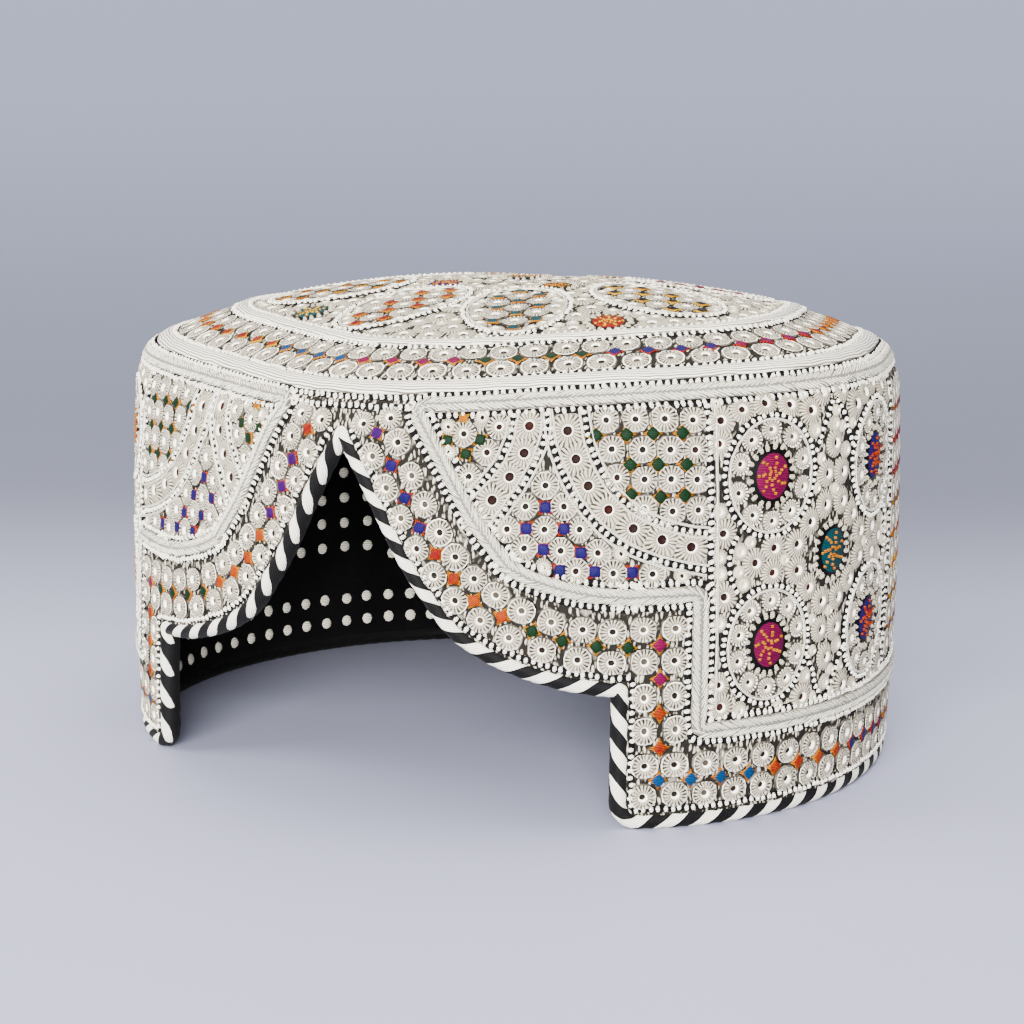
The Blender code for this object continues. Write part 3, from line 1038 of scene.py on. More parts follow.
@dataclass(frozen=True)
class StripedRope:
    """Black and white threads wound side by side round the cut edge."""

    period: float = 0.0082
    starts: int = -2
    threads: int = 11
    black_share: float = 0.53
    outer_face: float = 0.75
    taper: Pair = (0.08, 0.31)
    blur: float = 0.015
    closed: float = 0.54
    cotton: Colour = srgb(214, 211, 200)
    # The first black paints the grooves between threads, the second their tops: painted shade.
    black: tuple[Colour, Colour] = (srgb(2, 2, 2), srgb(9, 9, 10))
    relief: float = 0.00025

    def material(self, length: float) -> Material:
        """Build the finish.

        Args:
            length: Length of the closed rope, which the stripes divide evenly.
        Returns:
            The material.
        """
        pen = Sketch("striped_rope", Roughness=0.6, Sheen_Weight=0.02, Specular_IOR_Level=0.06)
        _, along, around = pen.chart("chart")
        turns = pen.fused(along, round(length / self.period) / length,
                           pen.times(around, float(self.starts)))
        wobble = pen.fused(pen.noise(260.0), 0.10, turns)
        share = pen.math("FRACT", wobble)
        edge = pen.off_half(share)
        across = pen.math("FRACT", pen.math("SUBTRACT", around, self.outer_face - 0.5))
        inward = pen.ramp(pen.off_half(across), *self.taper)
        half = self.black_share / 2
        limit = pen.fused(pen.math("POWER", inward, 2.0), self.closed - half, half)
        black = pen.ramp(pen.math("SUBTRACT", edge, limit), -self.blur, self.blur, 1.0, 0.0)
        twist = pen.times(wobble, math.pi * self.threads)
        thread = pen.math("ABSOLUTE", pen.math("SINE", twist))
        groove = pen.ramp(thread, 0.0, 0.45)
        # The grooves between the wound threads are painted darker on both colours: painted shade.
        white = pen.mix(groove, SHADE, pen.mix(pen.noise(900.0), self.cotton, BRIGHT))
        colour = pen.mix(black, white, pen.mix(groove, *self.black))
        return pen.finish(colour, groove, self.relief)


@dataclass(frozen=True)
class SilkCord:
    """White silk laid lengthwise, with a soft sheen."""

    name: str
    strand: float = 0.00062
    slant: float = 0.02
    # Colour of the grooves between strands, painted darker: painted shade.
    deep: Colour = srgb(84, 80, 71)
    light: Colour = srgb(228, 222, 204)
    waver: float = 0.0012
    relief: float = 0.00012

    def material(self) -> Material:
        """Build the finish."""
        pen = Sketch(self.name, Roughness=0.42, Sheen_Weight=0.1, Specular_IOR_Level=0.3)
        _, along, offset = pen.chart("chart")
        wave = pen.fused(pen.noise(120.0), self.waver, offset)
        slant = pen.fused(along, self.slant, wave)
        strands = pen.math("SINE", pen.times(slant, TURN / self.strand))
        height = pen.ramp(strands, -1.0, 0.4)
        # Grooves between strands take the deep colour: painted shade.
        return pen.finish(pen.mix(height, self.deep, self.light), height, self.relief)


@dataclass(frozen=True)
class ButtonholeThread:
    """White thread worked round a hole: radial stitches with small dark gaps between their outer ends. The
    dark gaps, the grooves between stitches and the valley inside the outline are painted shade.
    """

    name: str
    stitches: int = 18
    lip: float = 0.0011
    rim: float = 0.0028
    # How far the gaps between stitch ends are painted dark: painted shade.
    opening: float = 0.95
    rare: float = 0.34
    # Darkening of the valley inside the outline and of the grooves between stitches: painted shade.
    valley: float = 0.5
    groove: float = 0.80
    spread: float = 0.09
    worn: Colour = srgb(168, 160, 142)
    # Near-black of the gaps between stitch ends: painted shade.
    gap_shade: Colour = srgb(8, 7, 6)
    relief: float = 0.00022

    def material(self) -> Material:
        """Build the finish."""
        pen = Sketch(self.name, Roughness=0.6, Sheen_Weight=0.0, Specular_IOR_Level=0.06)
        vector, x, y = pen.chart("stitch")
        reach = pen.make("VectorMath", vector, output="Value", operation="LENGTH")
        turn = pen.math("ARCTAN2", y, x)
        tone = pen.attribute("tone", "Fac")
        swing = pen.fused(turn, self.stitches / TURN, pen.times(tone, 7.0))
        swing = pen.fused(pen.noise(700.0), 0.7, swing)
        side = pen.off_half(pen.math("FRACT", swing))
        thread = pen.ramp(side, 0.46, 0.16)
        worked = pen.times(pen.ramp(reach, self.lip - 0.0001, self.lip + 0.0003),
                            pen.ramp(reach, self.rim + 0.0002, self.rim - 0.0001))
        ends = pen.times(pen.ramp(reach, self.rim * 0.62, self.rim * 0.72), worked)
        chance = pen.make("TexWhiteNoise", None, pen.math("FLOOR", swing), noise_dimensions="1D")
        gap = pen.times(pen.ramp(side, 0.22, 0.32), pen.ramp(chance, self.rare, self.rare + 0.3))
        gap = pen.times(gap, ends)
        groove = pen.times(pen.math("SUBTRACT", 1.0, thread), worked)
        valley = pen.times(pen.ramp(reach, self.rim * 0.76, self.rim * 0.92),
                            pen.ramp(reach, self.rim * 1.08, self.rim))
        # Painted shade in the grooves and the valley, and a random darkening per eyelet by its tone.
        shade = pen.math("MAXIMUM", pen.times(groove, self.groove),
                           pen.times(valley, self.valley))
        shade = pen.fused(tone, self.spread, shade)
        shaded = pen.mix(shade, pen.attribute("dye"), SHADE)
        wear = pen.times(pen.ramp(pen.noise(300.0), 0.35, 0.75, 0.0, 0.4),
                          pen.ramp(reach, self.lip - 0.0001, self.lip + 0.0002))
        worn = pen.mix(wear, shaded, self.worn)
        # The gaps between the stitches' outer ends are painted near-black: painted shade.
        colour = pen.mix(pen.times(gap, self.opening), worn, self.gap_shade)
        height = pen.math("SUBTRACT", pen.times(thread, worked), gap)
        return pen.finish(colour, height, self.relief)


@dataclass(frozen=True)
class SatinStitch:
    """Dyed silk laid in fine parallel strands."""

    name: str
    strand: float = 0.00034
    gloss: float = 0.45
    groove: float = 0.30
    shine: float = 1.35
    relief: float = 0.00012

    def material(self) -> Material:
        """Build the finish."""
        pen = Sketch(self.name, Roughness=self.gloss, Sheen_Weight=0.0, Specular_IOR_Level=0.08)
        _, x, y = pen.chart("stitch")
        wave = pen.fused(pen.noise(500.0), self.strand * 1.5, y)
        strands = pen.math("SINE", pen.times(wave, TURN / self.strand))
        height = pen.ramp(strands, -1.0, 0.7)
        dye = pen.attribute("dye")
        # Grooves between strands take a darker copy of the dye: painted shade. The tops mix towards a
        # brighter copy in patches set by the tone and noise: random tone and painted sheen.
        deep = pen.make("HueSaturation", None, None, self.groove, None, dye)
        light = pen.make("HueSaturation", 0.52, None, self.shine, None, dye)
        tone = pen.fused(pen.attribute("tone", "Fac"), 0.25, pen.noise(900.0))
        colour = pen.mix(height, deep, pen.mix(pen.ramp(tone, 0.40, 0.72), dye, light))
        return pen.finish(colour, height, self.relief)


@dataclass(frozen=True)
class BlackCouching:
    """The black thread under the ladders of white stitches."""

    rubbed: Colour = srgb(20, 20, 22)
    relief: float = 0.0002

    def material(self) -> Material:
        """Build the finish."""
        pen = Sketch("black_couching", Roughness=0.75, Sheen_Weight=0.0, Specular_IOR_Level=0.06)
        fuzz = pen.noise(1500.0, detail=3.0)
        return pen.finish(pen.mix(pen.ramp(fuzz, 0.45, 0.7), INK, self.rubbed), fuzz, self.relief)


@dataclass
class Finishes:
    """The stitched pieces' materials, each built once."""

    buttonhole: Material
    long_buttonhole: Material
    silk: Material
    white_block: Material
    black: Material
    thread: Material
    knot: Material
    braid: Material

    @classmethod
    def mixed(cls) -> "Finishes":
        """Build the materials."""
        return cls(*(finish.material() for finish in (
            ButtonholeThread("buttonhole_thread"),
            ButtonholeThread("long_buttonhole_thread", stitches=21, lip=0.0012, rim=0.0040, opening=0.9,
                             rare=0.30, valley=0.0),
            SatinStitch("dyed_silk", groove=0.22, shine=1.4),
            SatinStitch("white_block", strand=0.00045, gloss=0.5, groove=0.45, shine=1.1),
            BlackCouching(),
            SilkCord("couched_silk", strand=0.0003),
            SatinStitch("lining_knot", strand=0.0005, gloss=0.6, groove=0.4, shine=1.1),
            SatinStitch("braid_silk", strand=0.00031, gloss=0.5, groove=0.10, shine=1.1))))


class Hole(Enum):
    """What shows through an eyelet's hole."""

    PLAIN = (Dye.GREY, Dye.SHADOW, Dye.UMBER, Dye.GREY)
    DARK = (Dye.SHADOW, Dye.UMBER, Dye.SHADOW, Dye.BROWN)
    RED = (Dye.BROWN, Dye.BROWN, Dye.RUST, Dye.BROWN)


class Gauge(Enum):
    """A ladder's width, the distance between its stitches and their breadth."""

    BROAD = (0.0014, 0.00172, 0.00104)
    MIDDLE = (0.0012, 0.00165, 0.0010)
    NARROW = (0.0011, 0.00158, 0.00095)


@dataclass
class Ladder:
    """A black line crossed by a row of white stitches."""

    line: Line
    gauge: Gauge = Gauge.BROAD
    lift: float = 0.00028
    lean: float = 0.28
    hem: float = 0.0002
    sink: float = 0.0001
    bed: float = 0.00008
    overlap: float = 1.12

    def strip(self, name: str) -> Thing:
        """Lay the black line."""
        half = self.gauge.value[0] / 2
        edge = half + self.hem
        profile = ((-edge, -self.sink), (-half, self.lift), (half, self.lift), (edge, -self.sink))
        return strip(name, Rails.along(self.line, LINE_STEP), profile, self.line.closed or self.line.wraps)

    def blocks(self) -> list[Spot]:
        """Spots of the white stitches."""
        width, pitch, breadth = self.gauge.value
        return [Spot(a, b, t + self.lean, breadth, width * self.overlap, (Dye.WHITE,) * 4,
                     self.lift - self.bed) for (a, b), t in zip(*self.line.spaced(pitch))]


def gathered() -> list:
    """A field that starts as an empty list."""
    return field(default_factory=list)


@dataclass
class Needlework:
    """Everything stitched on one part of a sheet, gathered before it is laid."""

    sheet: Sheet
    name: str
    seed: int
    eyelets: list[Spot] = gathered()
    bursts: list[Spot] = gathered()
    stars: list[Spot] = gathered()
    medallions: list[Spot] = gathered()
    beads: list[Spot] = gathered()
    teeth: list[Spot] = gathered()
    ladders: list[Ladder] = gathered()
    threads: list[Line] = gathered()

    def eyelet(self, a: float, b: float, turn: float = 0.0, size: float = 1.0, wide: float = 1.0,
               hole: Hole = Hole.PLAIN) -> None:
        """Add an outlined eyelet."""
        count = len(self.eyelets)
        # Zones: hole, satin, lip and outline, and the outer slope in SHADOW, which is painted shade.
        dyes = (hole.value[count * 7 % 11 % 4], Dye.CREAM, Dye.WHITE, Dye.SHADOW)
        self.eyelets.append(Spot(a, b, turn, size * wide, size, dyes))

    def burst(self, a: float, b: float, turn: float = 0.0, size: float = 1.0, wide: float = 1.0) -> None:
        """Add an eyelet with a brown hole and no outline."""
        dyes = (Hole.RED.value[len(self.bursts) % 4], Dye.CREAM, Dye.WHITE, Dye.CREAM)
        self.bursts.append(Spot(a, b, turn, size * wide, size, dyes))

    def star(self, a: float, b: float, middle: Dye, tips: Dye, turn: float = 0.0, size: float = 1.0) -> None:
        """Add a star."""
        self.stars.append(Spot(a, b, turn, size, size, (middle, *(tips,) * 3)))

    def medallion(self, a: float, b: float, dye: Dye, dots: Dye, wide: float = 1.0, size: float = 1.0,
                  turn: float = 0.0) -> None:
        """Add a medallion: a disc of dyed silk in a black ring with white teeth and dots in rays.

        Args:
            a: First sheet coordinate.
            b: Second sheet coordinate.
            dye: Colour of the disc.
            dots: Colour of the dots.
            wide: Width as a share of the height.
            size: Size as a share of the usual one.
            turn: Turn of its width on the sheet.
        """
        ring, pitch, tooth, tooth_lift = 0.0064, 0.0019, (0.00105, 0.0016), 0.0001
        rays, dots_in_ray, reach_step, twist, dot_lift = 7, 4, 0.00100, 0.12, 0.00046
        self.medallions.append(Spot(a, b, turn, wide * size, size, (dye, *(Dye.BLACK,) * 3)))
        teeth = oval(self.sheet, (a, b), ring * wide * size, ring * size, turn)
        self.teeth.extend(Spot(x, y, t, *tooth, lift=tooth_lift) for (x, y), t in zip(*teeth.spaced(pitch)))
        for ray in range(rays):
            for step in range(1, dots_in_ray + 1):
                swing, reach = TURN * (ray + twist * step) / rays, reach_step * step * size
                x, y = reach * wide * math.cos(swing), reach * math.sin(swing)
                self.beads.append(Spot(a + x * math.cos(turn) - y * math.sin(turn),
                                       b + x * math.sin(turn) + y * math.cos(turn), dyes=(dots,) * 4,
                                       lift=dot_lift))

    def fill(self, places: Array, radius: float, hole: bool) -> None:
        """Add small bursts where nothing is stitched yet.

        Args:
            places: Sheet points to try, in order.
            radius: Radius of the bursts.
            hole: Whether they have a dark hole.
        """
        full, snug, clear, line_room = 0.0034, 0.85, 0.8, 0.0006
        kinds = ((self.eyelets, 0.0033), (self.bursts, full), (self.stars, 0.0016),
                 (self.medallions, 0.0070))
        taken = [(s.a, s.b, reach * s.tall) for spots, reach in kinds for s in spots]
        lines = np.vstack([ladder.line.dense(0.001) for ladder in self.ladders])
        size = radius / full
        for a, b in places:
            others = np.array(taken)
            room = (np.hypot(others[:, 0] - a, others[:, 1] - b) - others[:, 2]).min()
            beside = np.hypot(lines[:, 0] - a, lines[:, 1] - b).min()
            if room > radius * snug and beside > radius * clear + line_room:
                middle = Hole.RED.value[len(taken) % 4] if hole else Dye.CREAM
                dyes = (middle, Dye.CREAM, Dye.WHITE, Dye.CREAM)
                self.bursts.append(Spot(a, b, 0.0, size, size, dyes))
                taken.append((a, b, radius))

    def mirror(self) -> None:
        """Add the same work on the cap's other half."""
        for spots in (self.eyelets, self.bursts, self.stars, self.medallions, self.beads, self.teeth):
            spots.extend([spot.mirrored() for spot in spots])
        self.ladders.extend([replace(ladder, line=ladder.line.mirrored()) for ladder in self.ladders])
        self.threads.extend([line.mirrored() for line in self.threads])

    def build(self, box: MotifBox, finishes: Finishes) -> list[Thing]:
        """Lay all of it.

        Args:
            box: The motifs.
            finishes: The materials.
        Returns:
            The stitched pieces.
        """
        stitcher = Stitcher(self.sheet, self.seed)
        pieces = []
        blocks = [spot for ladder in self.ladders for spot in ladder.blocks()] + self.teeth
        for kind, motif, spots, finish in (("eyelets", box.eyelet, self.eyelets, finishes.buttonhole),
                                           ("bursts", box.burst, self.bursts, finishes.long_buttonhole),
                                           ("stars", box.star, self.stars, finishes.silk),
                                           ("medallions", box.medallion, self.medallions, finishes.silk),
                                           ("dots", box.bead, self.beads, finishes.silk),
                                           ("ladder_stitches", box.block, blocks, finishes.white_block)):
            if spots:
                piece = stitcher.lay(f"{self.name}_{kind}", motif, spots)
                piece.data.materials.append(finish)
                pieces.append(piece)
        for kind, strips, finish in (
                ("ladder_lines", [ladder.strip("line") for ladder in self.ladders], finishes.black),
                ("couched_threads", [couched(line) for line in self.threads], finishes.thread)):
            if strips:
                piece = welded(strips[0], strips[1:])
                piece.name = piece.data.name = f"{self.name}_{kind}"
                piece.data.materials.append(finish)
                pieces.append(piece)
        return pieces


def couched(line: Line) -> Thing:
    """Lay a thin white thread along a line."""
    half, middle, tall = 0.00030, 0.00040, 0.00034
    profile = [(half * -math.cos(t), middle + tall * math.sin(t)) for t in np.linspace(-0.9, 4.05, 7)]
    return strip("thread", Rails.along(line, LINE_STEP), profile, line.closed or line.wraps)


def oval(sheet: Sheet, middle: Sequence[float], wide: float, tall: float, turn: float = 0.0) -> Line:
    """Draw an oval on a sheet.

    Args:
        sheet: The sheet.
        middle: Its middle.
        wide: Half its width.
        tall: Half its height.
        turn: Its turn.
    Returns:
        The closed line.
    """
    swing = np.linspace(0, TURN, 49)[:-1]
    x, y = wide * np.cos(swing), tall * np.sin(swing)
    points = np.stack([x * math.cos(turn) - y * math.sin(turn), x * math.sin(turn) + y * math.cos(turn)], -1)
    return Line(sheet, points + np.array(middle), closed=True)


def millimetres(*groups: Sequence[Pair]) -> Array:
    """Sheet points from places that are charted in millimetres."""
    return np.array([place for group in groups for place in group]) / 1000


def charted(sheet: Sheet, points: Sequence[Pair], pieces: int = 8) -> Line:
    """Draw a curve through places given in millimetres.

    Args:
        sheet: The sheet.
        points: The places.
        pieces: Pieces of the curve between two places.
    Returns:
        The line.
    """
    places = millimetres(points)
    ends = np.vstack([2 * places[0] - places[1], places, 2 * places[-1] - places[-2]])
    out = []
    for i in range(1, len(ends) - 2):
        t = np.linspace(0, 1, pieces + 1)[:-1, None]
        p0, p1, p2, p3 = ends[i - 1:i + 3]
        out.append(0.5 * (2 * p1 + (p2 - p0) * t + (2 * p0 - 5 * p1 + 4 * p2 - p3) * t ** 2
                          + (3 * p1 - p0 - 3 * p2 + p3) * t ** 3))
    return Line(sheet, np.vstack([*out, places[-1:]]))


@dataclass
class SideCloth:
    """The cloth of the side, which ends under the rope, and its lining."""

    chart: EdgeChart
    top: float = 0.0957
    tuck: float = 0.0003
    rows: int = 24
    step: float = 0.0025

    def sheet_points(self) -> tuple[Array, Array, Array]:
        """Columns of the side and the height at which each one starts.

        Returns:
            Columns round the whole side, their lower ends above the arch's foot, and the columns beside
            the arch that go on down to the rim.
        """
        form, chart = self.chart.form, self.chart
        arch = chart.arch(90)
        wide = chart.half_width + self.tuck
        count = math.ceil((form.half_round - wide) / self.step)
        beside = wide + (form.half_round - wide) * np.arange(count + 1) / count
        right = np.concatenate([arch[:-1, 0], beside])
        low = np.concatenate([arch[:-1, 1] + self.tuck, np.full(len(beside), chart.foot + self.tuck)])
        columns = np.concatenate([-right[:0:-1], right])
        return columns, np.concatenate([low[:0:-1], low]), beside

    def cloth(self, name: str, depth: float, thickness: float, top: float) -> Thing:
        """Make one layer of the side.

        Args:
            name: The layer's name.
            depth: How deep under the face it lies.
            thickness: Its thickness.
            top: Where it ends.
        Returns:
            The layer.
        """
        sheet = SideSheet(self.chart.form)
        columns, low, beside = self.sheet_points()
        parts, rim = [], np.full(len(beside), self.chart.rim_up + self.tuck)
        low_rows, foot = math.ceil(self.rows / 3), low[-1]
        for across, bottom, ceiling, rows in ((columns, low, top, self.rows), (beside, rim, foot, low_rows),
                                              (-beside[::-1], rim, foot, low_rows)):
            share = np.linspace(0, 1, rows + 1)[:, None]
            a = np.broadcast_to(across, (rows + 1, len(across)))
            b = bottom + (ceiling - bottom) * share
            parts.append(draped_grid(name, sheet.place(a, b, -depth), np.stack([a, b], -1)))
        return thickened(welded(parts[0], parts[1:]), thickness)

    def build(self) -> tuple[Thing, Thing]:
        """Make and dress the cloth and its lining.

        Returns:
            The cloth and the lining.
        """
        form = self.chart.form
        cloth = self.cloth("side_cloth", 0.0, form.side_cloth, self.top)
        cloth.data.materials.append(StitchedGround().material())
        slope = math.atan2(form.shoulder_rise, form.radius / 4)
        drop = (form.side_cloth + 2 * form.gap + form.lining_cloth) / math.cos(slope)
        top = form.side_height + float(form.rise(np.array(form.lining_edge))) - drop
        lining = self.cloth("side_lining_cloth", form.side_cloth + form.gap, form.lining_cloth, top)
        lining.data.materials.append(LiningCotton().material())
        return cloth, lining


@dataclass
class CrownCloth:
    """The domed cloth of the crown and its lining."""

    form: CapForm
    hem: float = 0.0957
    softness: float = 0.0010
    columns: int = 220
    rows: int = 40

    def disc(self, name: str, depth: float, thickness: float, hem: Sequence[float], edge: float) -> Thing:
        """Make one layer of the crown.

        Args:
            name: The layer's name.
            depth: How deep under the face it lies.
            thickness: Its thickness.
            hem: Heights on the side at which it starts, the lowest first.
            edge: Share of the radius at which the crown's own face starts.
        Returns:
            The layer.
        """
        form = self.form
        angle = np.linspace(-math.pi, math.pi, self.columns + 1)
        side, crown = SideSheet(form), CrownSheet(form)
        rows = [side.place(angle * form.radius, np.full_like(angle, up), -depth) for up in hem]
        shares = np.linspace(edge, 0, self.rows + 1)
        shares[-1] = 1e-7
        for share in shares:
            reach = form.plan_radius(angle, np.ones_like(angle)) * share
            rows.append(crown.place(reach * np.sin(angle), -reach * np.cos(angle), -depth))
        points = np.stack(rows)
        return thickened(welded(draped_grid(name, points, points[..., :2])), thickness)

    def build(self) -> tuple[Thing, Thing]:
        """Make and dress the crown and its lining.

        Returns:
            The cloth and the lining.
        """
        form = self.form
        cloth = self.disc("crown_cloth", 0.0, form.side_cloth, (self.hem, form.side_height - self.softness),
                          1 - self.softness / form.radius)
        cloth.data.materials.append(StitchedGround().material())
        lining = self.disc("crown_lining_cloth", form.side_cloth + form.gap, form.lining_cloth, (),
                           form.lining_edge)
        lining.data.materials.append(LiningCotton().material())
        return cloth, lining


@dataclass
class EdgeRope:
    """The striped rope that binds the whole cut edge."""

    chart: EdgeChart
    half_width: float = 0.0020
    half_thickness: float = 0.00235
    bulge: float = 0.00016
    step: float = 0.0009
    around: int = 18
    foot_bend: float = 0.0021

    def build(self) -> Thing:
        """Make and dress the rope.

        Returns:
            The rope.
        """
        form, chart, finish = self.chart.form, self.chart, StripedRope()
        sheet = SideSheet(form)
        half = chart.beside(sheet, (0.0, 0.0, 0.0), fillet=chart.corner_radius)
        line = Line(sheet, both_halves(half), wraps=True).rounded(self.foot_bend)
        rails = Rails.along(line, self.step, form.wall / 2)
        turns = round(rails.length[-1] / finish.period) / rails.length[-1]

        def section(along: Array, share: Array) -> tuple[Array, Array]:
            """Oval section with a low ridge over each bundle of threads."""
            turn = TURN * share
            ridge = self.bulge * np.abs(np.sin(TURN * (along * turns - share * finish.starts)))
            return ((self.half_width + ridge) * np.cos(turn), (self.half_thickness + ridge) * np.sin(turn))

        rope = spun_tube("edge_rope", rails, section, self.around)
        for corner in rope.data.vertices:
            corner.co.z = max(corner.co.z, 0.0)
        rope.data.materials.append(finish.material(float(rails.length[-1])))
        return rope


@dataclass
class FrameBraid:
    """The braid that frames the panels: crossed satin arms on a flat white base, whose colour is painted dark
    grey as shade between the arms.
    """

    chart: EdgeChart
    inset: Triple = (0.0204, 0.0171, 0.0200)
    apex: float = 0.0185
    top: float = 0.0957
    width: float = 0.0034
    thickness: float = 0.0014
    arm: Pair = (0.0043, 0.00066)
    flat: float = 0.55
    slant: float = math.radians(27)
    pitch: float = 0.00058
    bend: float = 0.0018
    sink: float = 0.0001
    off_middle: float = 0.235
    base: tuple = ((1.0, None), (0.8, 0.55), (0.0, 0.7))
    arm_bed: float = 0.45

    def right_half(self) -> Line:
        """The braid's middle from the back along the top, down the arch and along the rim to the back."""
        sheet, form = SideSheet(self.chart.form), self.chart.form
        beside = self.chart.beside(sheet, self.inset, self.top - self.width, self.apex)
        first, second = beside[0], beside[3]
        slope = (first[0] - second[0]) / (first[1] - second[1])
        corner = (first[0] + slope * (self.top - first[1]), self.top)
        return Line(sheet, np.vstack([[(form.half_round, self.top)], [corner], beside])).rounded(self.bend)

    def build(self, box: MotifBox, finishes: Finishes) -> list[Thing]:
        """Lay the base and the arms.

        Args:
            box: The motifs.
            finishes: The materials.
        Returns:
            The base and the arms.
        """
        right = self.right_half()
        left = right.mirrored()
        gap, half = self.chart.form.gap, self.width / 2
        rising = [(half * share, -self.sink if high is None else gap + self.thickness * high)
                  for share, high in self.base]
        profile = [(-x, z) for x, z in rising] + rising[-2::-1]
        halves = [strip("frame_braid_base", Rails.along(line, LINE_STEP), profile, False)
                  for line in (right, left)]
        base = welded(halves[0], halves[1:])
        # The base shows between the arms, so it is painted mid-grey with SHADE in its grooves: painted shade.
        shaded_core = SilkCord("braid_core_painted_shade", strand=0.0003, deep=SHADE, light=srgb(120, 117, 110))
        base.data.materials.append(shaded_core.material())
        arms = []
        for line, way in ((right, 1.0), (left, -1.0)):
            for i, ((a, b), t) in enumerate(zip(*line.spaced(self.pitch))):
                side = 1.0 if i % 2 else -1.0
                off = side * self.width * self.off_middle
                arms.append(Spot(a - math.sin(t) * off, b + math.cos(t) * off, t - way * side * self.slant,
                                 *self.arm, (Dye.SILK,) * 4, gap + self.thickness * self.arm_bed, self.flat))
        stitcher = Stitcher(right.sheet, 11, wander=0.00005, uneven=0.05)
        woven = stitcher.lay("frame_braid_arms", box.satin, arms)
        woven.data.materials.append(finishes.braid)
        return [base, woven]


def runs(*groups: tuple[int, Dye, Dye]) -> tuple[tuple[Dye, Dye], ...]:
    """Middle and tips of the stars in order, from runs of stars that are dyed alike."""
    return tuple((middle, tips) for count, middle, tips in groups for _ in range(count))


ARCH_STARS = ((9.7, 88.8), (13.9, 81.5), (17.2, 74.6), (21.0, 68.0), (24.9, 61.9), (29.2, 56.4), (34.4, 51.8),
              (40.5, 48.0), (47.4, 44.8), (54.6, 42.6), (62.0, 41.4), (69.0, 41.0), (75.8, 41.2))
RIGHT_DYES = runs((1, Dye.PURPLE, Dye.ORANGE), (3, Dye.BLUE, Dye.VERMILION), (2, Dye.RED, Dye.ORANGE),
                  (2, Dye.VERMILION, Dye.ORANGE), (4, Dye.GREEN, Dye.ORANGE), (2, Dye.MAGENTA, Dye.ORANGE),
                  (2, Dye.RED, Dye.ORANGE))
LEFT_DYES = runs((1, Dye.RED, Dye.ORANGE), (3, Dye.PURPLE, Dye.VERMILION), (4, Dye.VERMILION, Dye.ORANGE),
                 (4, Dye.GREEN, Dye.ORANGE), (1, Dye.MAGENTA, Dye.ORANGE), (3, Dye.RED, Dye.ORANGE))
RIM_DYES = ((Dye.TURQUOISE, Dye.ORANGE), (Dye.VERMILION, Dye.ORANGE), (Dye.BLUE, Dye.RED),
            (Dye.MAGENTA, Dye.ORANGE), (Dye.GREEN, Dye.ORANGE), (Dye.RED, Dye.YELLOW),
            (Dye.PURPLE, Dye.ORANGE), (Dye.TEAL, Dye.ORANGE))


